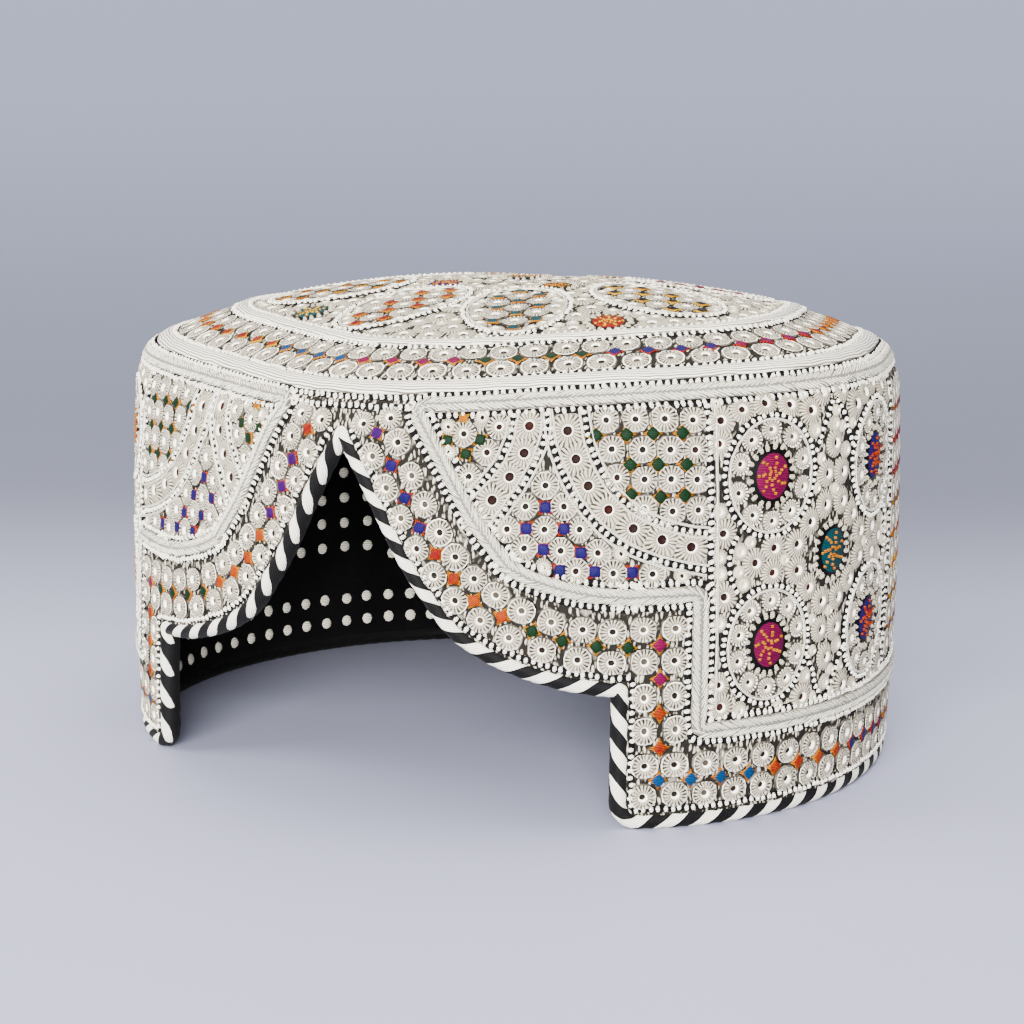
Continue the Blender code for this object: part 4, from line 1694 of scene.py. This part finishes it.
@dataclass
class BorderWork:
    """The double row of eyelets with stars between, along the arch, the upright edge and the rim."""

    chart: EdgeChart
    row: float = 0.00335
    eyelet_size: Pair = (0.99, 0.89)
    upright_steps: int = 4
    rim_corner: Pair = (0.0761, 0.0110)
    rim_pitch: float = 0.0070
    run: int = 4
    apex_eyelets: tuple = ((6.0, 91.2), (12.6, 92.4))
    rope_ladder: Triple = (0.0026, 0.0025, 0.0029)
    braid_ladder: float = 0.0026
    top: float = 0.0980
    over_arch: Pair = (0.0190, 0.0025)
    ladder_end: float = 0.0075
    ladder_bend: float = 0.0015
    near: float = 1.35
    apex_turn: float = -1.0

    def star_line(self) -> tuple[Array, int]:
        """Star places of the right half from the arch's point to the back, and how many lie on the arch."""
        arch, steps = millimetres(ARCH_STARS), self.upright_steps
        corner, back = np.array(self.rim_corner), self.chart.form.half_round
        upright = arch[-1] + (corner - arch[-1]) * (np.arange(1, steps + 1) / steps)[:, None]
        count = round((back - corner[0]) / self.rim_pitch)
        rim = corner + np.array([1.0, 0.0]) * ((back - corner[0]) * np.arange(1, count + 1) / count)[:, None]
        return np.vstack([arch, upright, rim]), len(arch)

    def eyelet_spots(self, stars: Array, corners: Sequence[int]) -> list[Triple]:
        """Places and turns of the eyelets on both sides of the star line.

        Args:
            stars: The star places.
            corners: Which of them are corners, with an eyelet on each diagonal.
        Returns:
            The places, none of them closer together than eyelets can be.
        """
        found: list[Triple] = []

        def add(a: float, b: float, turn: float) -> None:
            """Keep a place that is clear of the others."""
            if all(math.hypot(a - x, b - y) > self.row * self.near for x, y, _ in found):
                found.append((a, b, turn))

        diagonal = 1.414
        for i in corners:
            for quarter in range(4):
                swing = math.pi / 4 + quarter * math.pi / 2
                add(stars[i][0] + math.cos(swing) * self.row * diagonal,
                    stars[i][1] + math.sin(swing) * self.row * diagonal, 0.0)
        for start, end in zip(stars, stars[1:]):
            along = (end - start) / np.linalg.norm(end - start)
            middle, turn = (start + end) / 2, math.atan2(along[1], along[0])
            for side in (1, -1):
                add(middle[0] - along[1] * self.row * side, middle[1] + along[0] * self.row * side, turn)
        return found

    def draw(self) -> Needlework:
        """Draw the border.

        Returns:
            The needlework of the whole round.
        """
        chart, form = self.chart, self.chart.form
        sheet = SideSheet(form)
        work = Needlework(sheet, "border", 21)
        stars, on_arch = self.star_line()
        foot, rim = on_arch - 1, on_arch - 1 + self.upright_steps
        for a, b, turn in self.eyelet_spots(stars, (foot, rim)):
            work.eyelet(a, b, turn, self.eyelet_size[1], self.eyelet_size[0] / self.eyelet_size[1])
        for a, b in millimetres(self.apex_eyelets):
            work.eyelet(a, b, self.apex_turn, self.eyelet_size[1])
        ladder = Line(sheet, chart.beside(sheet, self.rope_ladder, self.top - self.ladder_end))
        work.ladders.append(Ladder(ladder.rounded(self.ladder_bend), Gauge.MIDDLE))
        braid = FrameBraid(chart).right_half()
        work.ladders += [Ladder(braid.moved(side * self.braid_ladder)) for side in (1, -1)]
        work.mirror()
        for side, arch_dyes in ((1, RIGHT_DYES), (-1, LEFT_DYES)):
            for i, (a, b) in enumerate(stars[:-1]):
                dyes = arch_dyes[i] if i < rim else RIM_DYES[(i - rim) // self.run % len(RIM_DYES)]
                work.star(side * a, b, *dyes, turn=0.0 if i >= foot else side * self.heading(stars, i))
        work.star(form.half_round, stars[-1][1], *RIM_DYES[0])
        half, below = self.over_arch
        over = np.array([(-half, self.top - below), (half, self.top - below)])
        fold = np.array([(-form.half_round, self.top), (form.half_round, self.top)])
        work.ladders += [Ladder(Line(sheet, over)), Ladder(Line(sheet, fold, wraps=True))]
        return work

    @staticmethod
    def heading(stars: Array, i: int) -> float:
        """Direction of the star line at a star."""
        step = stars[i + 1] - stars[max(i - 1, 0)]
        return math.atan2(step[1], step[0])


@dataclass
class ArchPanel:
    """The panel over each half of the arch, charted from the photograph."""

    form: CapForm
    corner_eyelets: tuple = ((30.9, 88.7), (39.2, 90.1), (36.4, 84.4), (32.2, 79.2))
    corner_leaves: tuple = ((35.1, 92.3), (27.4, 84.7), (26.9, 90.4))
    corner_stars: tuple = ((27.1, 87.3), (34.8, 87.4), (31.4, 84.2))
    corner_tip: tuple = (30.5, 92.3)
    first_ladder: tuple = ((43.0, 93.2), (42.4, 90.6), (42.0, 87.7), (40.7, 84.8), (38.9, 81.5),
                           (36.3, 78.7), (33.2, 75.8), (31.4, 74.4))
    second_ladder: tuple = ((50.7, 93.2), (50.3, 87.7), (48.7, 83.3), (46.4, 79.2), (43.9, 75.4),
                            (40.7, 71.2), (38.3, 67.9), (36.4, 66.4))
    third_ladder: tuple = ((50.9, 93.2), (51.8, 86.5), (53.2, 82.3), (55.4, 77.3), (58.8, 71.8),
                           (63.4, 66.7), (69.6, 62.2), (77.3, 59.1), (86.0, 56.9))
    fourth_ladder: tuple = ((59.6, 93.2), (60.4, 86.6), (62.5, 80.9), (65.6, 75.7), (69.9, 71.4),
                            (75.2, 68.2), (81.4, 65.9), (86.4, 65.0))
    first_band: tuple = ((46.6, 89.8), (45.3, 84.2), (41.9, 79.0), (38.0, 74.0), (34.4, 69.8))
    second_band: tuple = ((55.6, 88.6), (57.5, 82.4), (60.4, 76.4), (64.6, 71.0), (70.2, 66.9),
                          (76.4, 64.1), (82.4, 62.2))
    slant_eyelets: tuple = ((50.3, 76.9), (45.6, 72.2), (54.8, 72.0), (41.5, 67.7), (50.2, 67.3),
                            (58.3, 67.1), (45.7, 63.2), (54.0, 62.7), (62.4, 62.0), (57.6, 58.0),
                            (65.6, 57.2), (74.3, 56.9))
    slant_leaves: tuple = ((50.1, 58.9), (80.4, 56.2), (67.2, 61.3))
    slant_stars: tuple = ((50.4, 72.0), (46.0, 67.7), (54.6, 67.1), (50.2, 62.8), (58.6, 62.2),
                          (53.8, 58.3), (61.7, 57.9), (69.9, 57.4))
    square_eyelets: tuple = ((64.7, 90.3), (71.0, 90.2), (77.4, 89.9), (83.2, 89.6), (65.9, 84.0),
                             (72.3, 83.6), (78.3, 83.4), (83.8, 83.0), (66.6, 77.8), (72.8, 77.2),
                             (78.5, 77.0), (84.1, 76.6), (72.6, 70.9), (78.7, 70.2), (84.1, 70.1))
    square_stars: tuple = ((62.1, 87.3), (69.0, 87.1), (74.9, 86.9), (80.9, 86.6), (69.7, 80.6),
                           (75.8, 80.3), (81.6, 80.0), (69.6, 74.1), (75.9, 73.6), (81.5, 73.4))
    divider: float = 0.0868
    divider_gap: float = 0.0014
    ends: Triple = (0.0932, 0.0530, 0.0260)
    thread_gap: float = 0.0011
    corner_turn: float = 0.6
    eyelet_size: float = 0.93
    leaf: Triple = (0.4, 0.55, 0.8)
    band_size: float = 1.08

    def draw(self) -> Needlework:
        """Draw both panels.

        Returns:
            The needlework.
        """
        sheet = SideSheet(self.form)
        work = Needlework(sheet, "arch_panel", 31)
        slant = math.pi / 4
        for group, turn in ((self.corner_eyelets, self.corner_turn), (self.slant_eyelets, slant),
                            (self.square_eyelets, 0.0)):
            for a, b in millimetres(group):
                work.eyelet(a, b, turn, self.eyelet_size, hole=Hole.DARK)
        for a, b in millimetres(self.corner_leaves, self.slant_leaves):
            work.burst(a, b, *self.leaf)
        for a, b in millimetres(self.first_band, self.second_band):
            work.burst(a, b, size=self.band_size)
        for group, middle, tips, turn, size in (
                (self.corner_stars, Dye.GREEN, Dye.ORANGE, self.corner_turn, 0.95),
                (self.slant_stars, Dye.BLUE, Dye.VERMILION, slant, 1.0),
                (self.square_stars, Dye.GREEN, Dye.ORANGE, 0.0, 1.0),
                ((self.corner_tip,), Dye.ORANGE, Dye.YELLOW, self.corner_turn, 0.8)):
            for a, b in millimetres(group):
                work.star(a, b, middle, tips, turn, size)
        for points, side in ((self.first_ladder, -1), (self.second_ladder, 1), (self.third_ladder, -1),
                             (self.fourth_ladder, 1)):
            line = charted(sheet, points)
            work.ladders.append(Ladder(line, Gauge.MIDDLE))
            work.threads += [line.moved(-side * self.thread_gap), line.moved(side * self.thread_gap)]
        (top, ladder_end, thread_end), beside = self.ends, self.divider + self.divider_gap
        work.ladders.append(Ladder(Line(sheet, np.array([(self.divider, top), (self.divider, ladder_end)]))))
        work.threads.append(Line(sheet, np.array([(beside, top), (beside, thread_end)])))
        work.mirror()
        return work


@dataclass
class MedallionPanel:
    """A panel with five medallions: one in the middle between four petals, and one in each corner."""

    form: CapForm
    name: str
    seed: int
    middle: Pair = (0.1172, 0.0577)
    dyes: tuple = (Dye.MAGENTA, Dye.MAGENTA, Dye.BLUE, Dye.BLUE, Dye.TEAL)
    reach: Pair = (0.0168, 0.0184)
    narrow: float = 0.80
    ring: Pair = (0.0078, 0.0098)
    ring_eyelets: int = 10
    ring_size: Pair = (0.78, 0.92)
    circle: Pair = (0.0106, 0.0131)
    thread_gap: float = 0.0010
    side_petal: tuple = ((20.6, 0.0), (16.2, 2.75), (16.2, -2.75), (10.4, 2.85), (10.4, -2.85))
    tall_petal: tuple = ((0.0, 23.6), (2.5, 17.2), (-2.5, 17.2), (2.8, 10.6), (-2.8, 10.6))
    corner_bursts: tuple = ((27.8, 31.2), (27.6, 6.9), (7.2, 31.4))
    petal_size: float = 0.80
    petal_wide: float = 0.9
    corner_size: float = 0.85
    side_arc: tuple = ((24.2, 6.6), (25.8, 3.6), (26.4, 0.0), (25.8, -3.6), (24.2, -6.6))
    point_arc: tuple = ((0.6, 33.4), (3.4, 28.0), (6.0, 22.0))
    fillers: tuple = ((0.0026, True), (0.0017, False), (0.0012, False))
    filled: Triple = (0.0285, 0.0286, 0.0012)
    fill_step: float = 0.0009
    low: float = 0.0241
    high: float = 0.0933

    def draw(self) -> Needlework:
        """Draw the panel on both sides of the cap.

        Returns:
            The needlework.
        """
        sheet = SideSheet(self.form)
        work = Needlework(sheet, self.name, self.seed)
        u, v = self.middle
        wide, tall = self.reach
        for dye, (x, y) in zip(self.dyes, ((-wide, tall), (-wide, -tall), (wide, tall), (wide, -tall))):
            dots = Dye.ORANGE if dye is not Dye.BLUE else Dye.VERMILION
            work.medallion(u + x, v + y, dye, dots, self.narrow)
            work.ladders.append(Ladder(oval(sheet, (u + x, v + y), *self.circle), Gauge.NARROW))
            work.threads.append(oval(sheet, (u + x, v + y), *(r - self.thread_gap for r in self.circle)))
            for k in range(self.ring_eyelets):
                swing = TURN * (k + 0.5) / self.ring_eyelets
                work.eyelet(u + x + self.ring[0] * math.cos(swing), v + y + self.ring[1] * math.sin(swing),
                            swing, *self.ring_size)
        work.medallion(u, v, self.dyes[4], Dye.ORANGE, self.narrow)
        for side in (-1, 1):
            for x, y in millimetres(self.side_petal):
                work.burst(u + side * x, v + y, size=self.petal_size)
            for x, y in millimetres(self.tall_petal):
                work.burst(u + x, v + side * y, size=self.petal_size, wide=self.petal_wide)
            for x, y in millimetres(self.corner_bursts):
                for other in (-1, 1):
                    work.burst(u + side * x, v + other * y, size=self.corner_size)
            arcs = [[(u * 1000 + side * x, v * 1000 + y) for x, y in self.side_arc]]
            arcs += [[(u * 1000 + x * other, v * 1000 + side * y) for x, y in self.point_arc]
                     for other in (-1, 1)]
            work.ladders += [Ladder(charted(sheet, arc), Gauge.NARROW) for arc in arcs]
        left, right, edge = self.filled
        across, up = np.meshgrid(np.arange(u - left, u + right, self.fill_step),
                                 np.arange(self.low + edge, self.high, self.fill_step))
        for radius, hole in self.fillers:
            work.fill(np.stack([across.ravel(), up.ravel()], -1), radius, hole)
        work.mirror()
        return work


@dataclass
class LatticePanel:
    """A panel filled with a square lattice of eyelets, its stars dyed row by row."""

    form: CapForm
    name: str
    seed: int
    left: float
    right: float
    mirrored: bool = True
    low: float = 0.0241
    high: float = 0.0933
    columns: int = 7
    rows: int = 9
    margin: Pair = (0.0062, 0.0056)
    ladder_inset: float = 0.0013
    dyes: tuple = ((Dye.PURPLE, Dye.ORANGE), (Dye.MAGENTA, Dye.RED), (Dye.BLUE, Dye.VERMILION),
                   (Dye.TEAL, Dye.ORANGE), (Dye.RED, Dye.ORANGE), (Dye.VERMILION, Dye.YELLOW),
                   (Dye.GREEN, Dye.ORANGE), (Dye.TURQUOISE, Dye.ORANGE))

    def draw(self) -> Needlework:
        """Draw the panel.

        Returns:
            The needlework.
        """
        sheet = SideSheet(self.form)
        work = Needlework(sheet, self.name, self.seed)
        across = np.linspace(self.left + self.margin[0], self.right - self.margin[0], self.columns)
        up = np.linspace(self.high - self.margin[1], self.low + self.margin[1], self.rows)
        for a in across:
            for b in up:
                work.eyelet(a, b, hole=Hole.DARK)
        for j, (top, bottom) in enumerate(zip(up, up[1:])):
            for left, right in zip(across, across[1:]):
                work.star((left + right) / 2, (top + bottom) / 2, *self.dyes[j % len(self.dyes)])
        for edge in (self.left + self.ladder_inset, self.right - self.ladder_inset):
            work.ladders.append(Ladder(Line(sheet, np.array([(edge, self.low), (edge, self.high)]))))
        if self.mirrored:
            work.mirror()
        return work


@dataclass
class CrownWork:
    """The crown's ring of eyelets and the rosette inside it."""

    form: CapForm
    ring_share: float = 0.861
    ring_stars: int = 67
    row: float = 0.0034
    ladder_shares: tuple = (0.943, 0.782, 0.739)
    ring_dyes: tuple = ((Dye.MAGENTA, Dye.ORANGE), (Dye.GREEN, Dye.ORANGE), (Dye.BLUE, Dye.RED),
                        (Dye.MAGENTA, Dye.RED), (Dye.RED, Dye.ORANGE), (Dye.VERMILION, Dye.ORANGE),
                        (Dye.RED, Dye.YELLOW), (Dye.TURQUOISE, Dye.ORANGE))
    run: int = 4
    petal_dyes: tuple = ((Dye.RED, Dye.ORANGE), (Dye.TEAL, Dye.ORANGE), (Dye.BLACK, Dye.YELLOW),
                         (Dye.BLUE, Dye.RED), (Dye.MAGENTA, Dye.ORANGE), (Dye.GREEN, Dye.YELLOW),
                         (Dye.TURQUOISE, Dye.RED), (Dye.GREEN, Dye.ORANGE))
    first_petal: float = math.radians(-20)
    petal_reach: float = 0.0455
    petal_size: Pair = (0.0185, 0.0128)
    petal_thread: float = 0.0011
    cell: float = 0.0049
    cell_margin: Pair = (0.0040, 0.0030)
    spoke_dyes: tuple = ((Dye.RED, Dye.GREEN), (Dye.MAGENTA, Dye.TEAL), (Dye.PURPLE, Dye.BLUE),
                         (Dye.TEAL, Dye.PURPLE))
    spoke_dots: tuple[Dye, Dye] = (Dye.YELLOW, Dye.ORANGE)
    spoke_reach: tuple[float, ...] = (0.0345, 0.0425, 0.0500)
    medallion_reach: Pair = (0.0620, 0.0235)
    medallion_size: Pair = (0.9, 0.85)
    burst_reach: tuple[float, ...] = (0.0350, 0.0435, 0.0520)
    fork: Pair = (0.13, 0.0625)
    burst_sizes: Pair = (0.95, 0.85)
    middle_ring: Pair = (0.0112, 0.8)
    fillers: tuple = ((0.0028, True), (0.0019, False), (0.0013, False))
    filled: Triple = (-0.068, 0.0681, 0.0011)
    fill_margin: float = 0.0020
    low: float = 0.5
    star_low: float = 0.7
    star_lift: float = 0.0001
    dot_size: float = 0.85
    ring_points: int = 240

    def draw(self) -> Needlework:
        """Draw the crown.

        Returns:
            The needlework.
        """
        sheet = CrownSheet(self.form)
        work = Needlework(sheet, "crown", 51)
        for share in self.ladder_shares:
            work.ladders.append(Ladder(Line(sheet, sheet.ring(share, self.ring_points), closed=True)))
        self.draw_ring(work)
        self.draw_rosette(work)
        return work

    def draw_ring(self, work: Needlework) -> None:
        """Draw the double row of eyelets round the crown."""
        middle = Line(work.sheet, work.sheet.ring(self.ring_share, self.ring_points), closed=True)
        places, turn = self.even(middle, 0.0)
        front = int(np.argmin(places[:, 1]))
        for i, ((a, b), t) in enumerate(zip(places, turn)):
            order = (i - front) // self.run
            work.star(a, b, *self.ring_dyes[order % len(self.ring_dyes)], turn=t)
        size, outer_wide = 0.97, 1.06
        for side in (1, -1):
            for (a, b), t in zip(*self.even(middle.moved(side * self.row), 0.5)):
                work.eyelet(a, b, t, size, outer_wide if side < 0 else 1.0)

    def even(self, line: Line, phase: float) -> tuple[Array, Array]:
        """Places and directions on a closed line, one for every star of the ring."""
        return line.spaced(Rails.along(line, 0.002).length[-1] / self.ring_stars, phase)

    def swell(self, angle: float) -> float:
        """How much wider or narrower the crown is at an angle than a round one."""
        return float(self.form.plan_radius(np.array(angle), np.array(1.0))) / self.form.radius

    @staticmethod
    def towards(angle: float) -> Array:
        """Unit step from the crown's middle at an angle from the front."""
        return np.array([math.sin(angle), -math.cos(angle)])

    def draw_petal(self, work: Needlework, angle: float, dyes: tuple[Dye, Dye]) -> None:
        """Draw one petal: a ladder and a thread round a small lattice.

        Args:
            work: The crown's needlework.
            angle: The petal's angle from the front.
            dyes: Middle and tips of its stars.
        """
        out = self.towards(angle)
        side = np.array([-out[1], out[0]])
        middle, turn = out * self.petal_reach * self.swell(angle), math.atan2(out[1], out[0])
        length, width = self.petal_size
        leaf = oval(work.sheet, middle, length, width, turn)
        work.ladders.append(Ladder(leaf, Gauge.NARROW))
        work.threads.append(leaf.moved(self.petal_thread))
        size, cell = 0.93, self.cell
        for i in range(-3, 4):
            for j in range(-2, 3):
                starry = (i + j) % 2
                rim = self.cell_margin[starry]
                if math.hypot(i * cell / (length - rim), j * cell / (width - rim)) < 1.0:
                    spot = middle + out * i * cell + side * j * cell
                    if starry:
                        work.star(*spot, *dyes, turn + math.pi / 4)
                    else:
                        work.eyelet(*spot, turn + math.pi / 4, size)

    def draw_rosette(self, work: Needlework) -> None:
        """Draw eight petals round the middle, with medallions and bursts between them."""
        narrow, size = self.medallion_size
        petal_burst, spoke_burst = self.burst_sizes
        for k, dyes in enumerate(self.petal_dyes):
            angle = self.first_petal + k * math.pi / 4
            self.draw_petal(work, angle, dyes)
            between = angle + math.pi / 8
            away = self.towards(between) * self.swell(between)
            if k % 2 == 0:
                for reach in self.burst_reach:
                    work.burst(*(away * reach), between, petal_burst)
                for swing in (-self.fork[0], self.fork[0]):
                    work.burst(*(self.towards(between + swing) * self.fork[1]), between, petal_burst)
            else:
                for reach, dye, dots in zip(self.medallion_reach, self.spoke_dyes[k // 2], self.spoke_dots):
                    work.medallion(*(away * reach), dye, dots, narrow, size, between)
                for reach in self.spoke_reach:
                    work.burst(*(away * reach), between, spoke_burst)
        work.medallion(0.0, 0.0, Dye.TEAL, Dye.ORANGE, 1.0, 0.9)
        for k in range(8):
            swing = self.first_petal + k * math.pi / 4
            work.eyelet(*(self.towards(swing) * self.middle_ring[0]), swing, self.middle_ring[1])
        self.fill_gaps(work)
        for spot in work.eyelets + work.bursts + work.beads:
            spot.high = self.low
        for spot in work.stars:
            spot.lift, spot.high = self.star_lift, self.star_low
        for spot in work.beads:
            spot.wide = spot.tall = self.dot_size

    def fill_gaps(self, work: Needlework) -> None:
        """Fill what is left free inside the inner ladder with small bursts, from the outside in."""
        grid = np.stack(np.meshgrid(*(np.arange(*self.filled),) * 2), -1).reshape(-1, 2)
        angle = np.arctan2(grid[:, 0], -grid[:, 1])
        edge = self.form.plan_radius(angle, np.ones_like(angle)) * self.ladder_shares[-1] - self.fill_margin
        grid = grid[np.hypot(*grid.T) < edge]
        grid = grid[np.argsort(-np.hypot(*grid.T))]
        for radius, hole in self.fillers:
            work.fill(grid, radius, hole)


RIM_CORD_INSET = 0.0006
RIM_CORD_HALF = 0.0022
KNOT_SIZE = 1.35


@dataclass
class LaidCord:
    """A smooth silk cord couched round the crown."""

    name: str
    form: CapForm
    share: float
    width: float
    thickness: float
    ring_points: int = 360

    def build(self) -> Thing:
        """Make and dress the cord.

        Returns:
            The cord.
        """
        sheet = CrownSheet(self.form)
        line = Line(sheet, sheet.ring(self.share, self.ring_points), closed=True)
        turn = np.linspace(-0.12, 1.12, 9) * math.pi
        profile = [(self.width / 2 * -math.cos(t), self.form.gap + self.thickness * math.sin(t))
                   for t in turn]
        cord = strip(self.name, Rails.along(line, LINE_STEP), profile, closed=True)
        cord.data.materials.append(SilkCord(f"{self.name}_silk").material())
        return cord


@dataclass
class Studio:
    """Floor, lights and camera."""

    backdrop: Triple = (1.2, 2.4, 1.6)
    near: float = 0.05
    band: float = -0.36
    far: float = -1.90
    focal: float = 2388.74 / 1024 * 36
    azimuth: float = math.radians(28.07)
    elevation: float = math.radians(10.77)
    roll: float = math.radians(0.69)
    aim: Pair = (-0.0027, 0.05477)
    distance: float = 0.61402
    # Colours of the floor's dark band, its front and its far backdrop: painted light and shade.
    floor_colours: tuple[Colour, ...] = (srgb(84, 88, 102), srgb(141, 144, 167), srgb(126, 133, 153))
    lights: tuple = (("front_light", (0.50, -1.60, 0.32), 1.2, 215.0, (1.0, 0.97, 0.93)),
                     ("left_light", (-1.50, -0.80, 1.00), 1.2, 64.0, (1.0, 0.95, 0.88)),
                     ("top_light", (0.2, 0.4, 1.8), 1.5, 62.0, (1.0, 0.95, 0.88)))
    lamp_aim: Triple = (0.0, 0.0, 0.05)
    air: Colour = srgb(214, 217, 226)
    air_strength: float = 1.36

    def floor(self) -> None:
        """Lay a pale floor that rises far away into a round backdrop. Its colour is painted light and shade:
        lightest in front of the cap, darkest in a band behind it and lighter again far away.
        """
        flat, reach, height = self.backdrop
        turn = np.linspace(0, math.pi / 2, 25)
        radii, heights = flat + (reach - flat) * np.sin(turn), height * (1 - np.cos(turn)) ** 1.5
        floor = turned_profile(96, list(zip(radii, heights, [0] * len(turn))))
        floor.name = "studio_floor"
        only(floor)
        bpy.ops.object.shade_smooth()
        pen = Sketch("studio_floor", Roughness=0.6)
        towards = (math.sin(self.azimuth), -math.cos(self.azimuth), 0.0)
        along = pen.make("VectorMath", pen.make("TexCoord", output="Object"), towards, output="Value",
                           operation="DOT_PRODUCT")
        band, close, away = self.floor_colours
        # Painted light and shade: the floor's colour changes with the distance along the camera's direction.
        colour = pen.mix(pen.ramp(along, self.band, self.near), band, close)
        colour = pen.mix(pen.ramp(along, self.band, self.far), colour, away)
        floor.data.materials.clear()
        floor.data.materials.append(pen.finish(colour))

    def lamp(self, name: str, place: Vector, size: float, power: float, colour: Colour) -> None:
        """Hang a square soft light that points at the cap.

        Args:
            name: The light's name.
            place: Where it hangs.
            size: Its side.
            power: Its power in watts.
            colour: Its linear colour.
        """
        light = bpy.data.lights.new(name, "AREA")
        light.color = colour
        light.shape, light.size, light.energy = "SQUARE", size, power
        thing = bpy.data.objects.new(name, light)
        look = (place - Vector(self.lamp_aim)).to_track_quat("Z", "Y")
        thing.matrix_world = Matrix.LocRotScale(place, look, None)
        bpy.context.scene.collection.objects.link(thing)

    def camera(self, axis_forward: float) -> None:
        """Stand the camera where the photograph was taken.

        Args:
            axis_forward: How far the cap's axis lies in front of the origin.
        """
        az, el = self.azimuth, self.elevation
        back = Vector((math.sin(az) * math.cos(el), -math.cos(az) * math.cos(el), math.sin(el)))
        right = Vector((math.cos(az), math.sin(az), 0.0))
        up = back.cross(right)
        place = right * self.aim[0] + Vector((0, 0, self.aim[1])) + back * self.distance
        place.y -= axis_forward
        turned_right = right * math.cos(self.roll) + up * math.sin(self.roll)
        turned_up = up * math.cos(self.roll) - right * math.sin(self.roll)
        lens = bpy.data.cameras.new("photo_camera")
        lens.lens, lens.sensor_width, lens.clip_start = self.focal, 36.0, 0.01
        thing = bpy.data.objects.new("photo_camera", lens)
        thing.matrix_world = Matrix((turned_right, turned_up, back)).transposed().to_4x4()
        thing.matrix_world.translation = place
        bpy.context.scene.collection.objects.link(thing)
        bpy.context.scene.camera = thing

    def build(self, axis_forward: float) -> None:
        """Set up the whole studio.

        Args:
            axis_forward: How far the cap's axis lies in front of the origin.
        """
        self.floor()
        for name, place, *rest in self.lights:
            self.lamp(name, Vector(place), *rest)
        world = bpy.data.worlds.new("studio_air")
        world.use_nodes = True
        sky = world.node_tree.nodes["Background"].inputs
        sky["Color"].default_value = (*self.air, 1.0)
        sky["Strength"].default_value = self.air_strength
        bpy.context.scene.world = world
        self.camera(axis_forward)


def settle(piece: Thing, slot: str, *nodes: str) -> None:
    """Args:
        piece: The piece.
        slot: The record's material slot. Not used.
        nodes: The CAD nodes that it stands for.
    """
    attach(piece, BODY)
    if nodes:
        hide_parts(*nodes)
    LOG.info("%s: %d faces", piece.name, len(piece.data.polygons))


def main() -> None:
    """Build the studio and the cap's pieces in order."""
    logging.basicConfig(level=logging.INFO, format="%(name)s: %(message)s")
    form = CapForm()
    chart = EdgeChart(form)
    Studio().build(form.axis_forward)
    side, side_lining = SideCloth(chart).build()
    settle(side, "embroidered_cloth", "side_band")
    settle(side_lining, "lining", "side_lining")
    cut = (2 * form.half_round, SideCloth.top)
    for cloth in (side, side_lining):
        cut[0] * cut[1] - chart.opening()
    crown, crown_lining = CrownCloth(form).build()
    settle(crown, "embroidered_cloth", "crown")
    settle(crown_lining, "lining", "crown_lining")
    settle(EdgeRope(chart).build(), "striped_rope", "edge_binding")
    rim_share = 1 - (RIM_CORD_INSET + RIM_CORD_HALF) / form.radius
    settle(LaidCord("rim_silk_cord", form, rim_share, width=0.0038, thickness=0.0009).build(),
           "white_thread", "rim_cord")
    settle(LaidCord("crown_silk_cord", form, form.shoulder_share, width=0.0028, thickness=0.0007).build(),
           "white_thread", "crown_cord")
    box, finishes = MotifBox.modelled(), Finishes.mixed()
    base, arms = FrameBraid(chart).build(box, finishes)
    settle(base, "white_thread", "frame_braid")
    settle(arms, "white_thread")
    works = [BorderWork(chart).draw(), ArchPanel(form).draw(),
             MedallionPanel(form, "medallion_panel", 33).draw(),
             LatticePanel(form, "lattice_panel", 35, 0.1470, 0.2050).draw(),
             MedallionPanel(form, "rear_medallion_panel", 37, (0.2345, 0.0577),
                            (Dye.RED, Dye.PURPLE, Dye.GREEN, Dye.MAGENTA, Dye.BLUE)).draw(),
             LatticePanel(form, "back_panel", 39, 0.2640, 2 * form.half_round - 0.2640, False).draw(),
             CrownWork(form).draw()]
    for work in works:
        for piece in work.build(box, finishes):
            settle(piece, "embroidered_cloth" if "eyelet" in piece.name else "white_thread")
    for name, sheet in (("side", SideSheet), ("crown", CrownSheet)):
        spots = [Spot(s.a, s.b, s.turn, KNOT_SIZE, KNOT_SIZE, (Dye.WHITE,) * 4) for work in works
                 if isinstance(work.sheet, sheet) for s in work.eyelets + work.bursts]
        knots = Stitcher(sheet(form), 61, inside=form.wall).lay(f"{name}_lining_knots", box.knot, spots)
        knots.data.materials.append(finishes.knot)
        settle(knots, "lining")


if __name__ == "__main__":
    main()
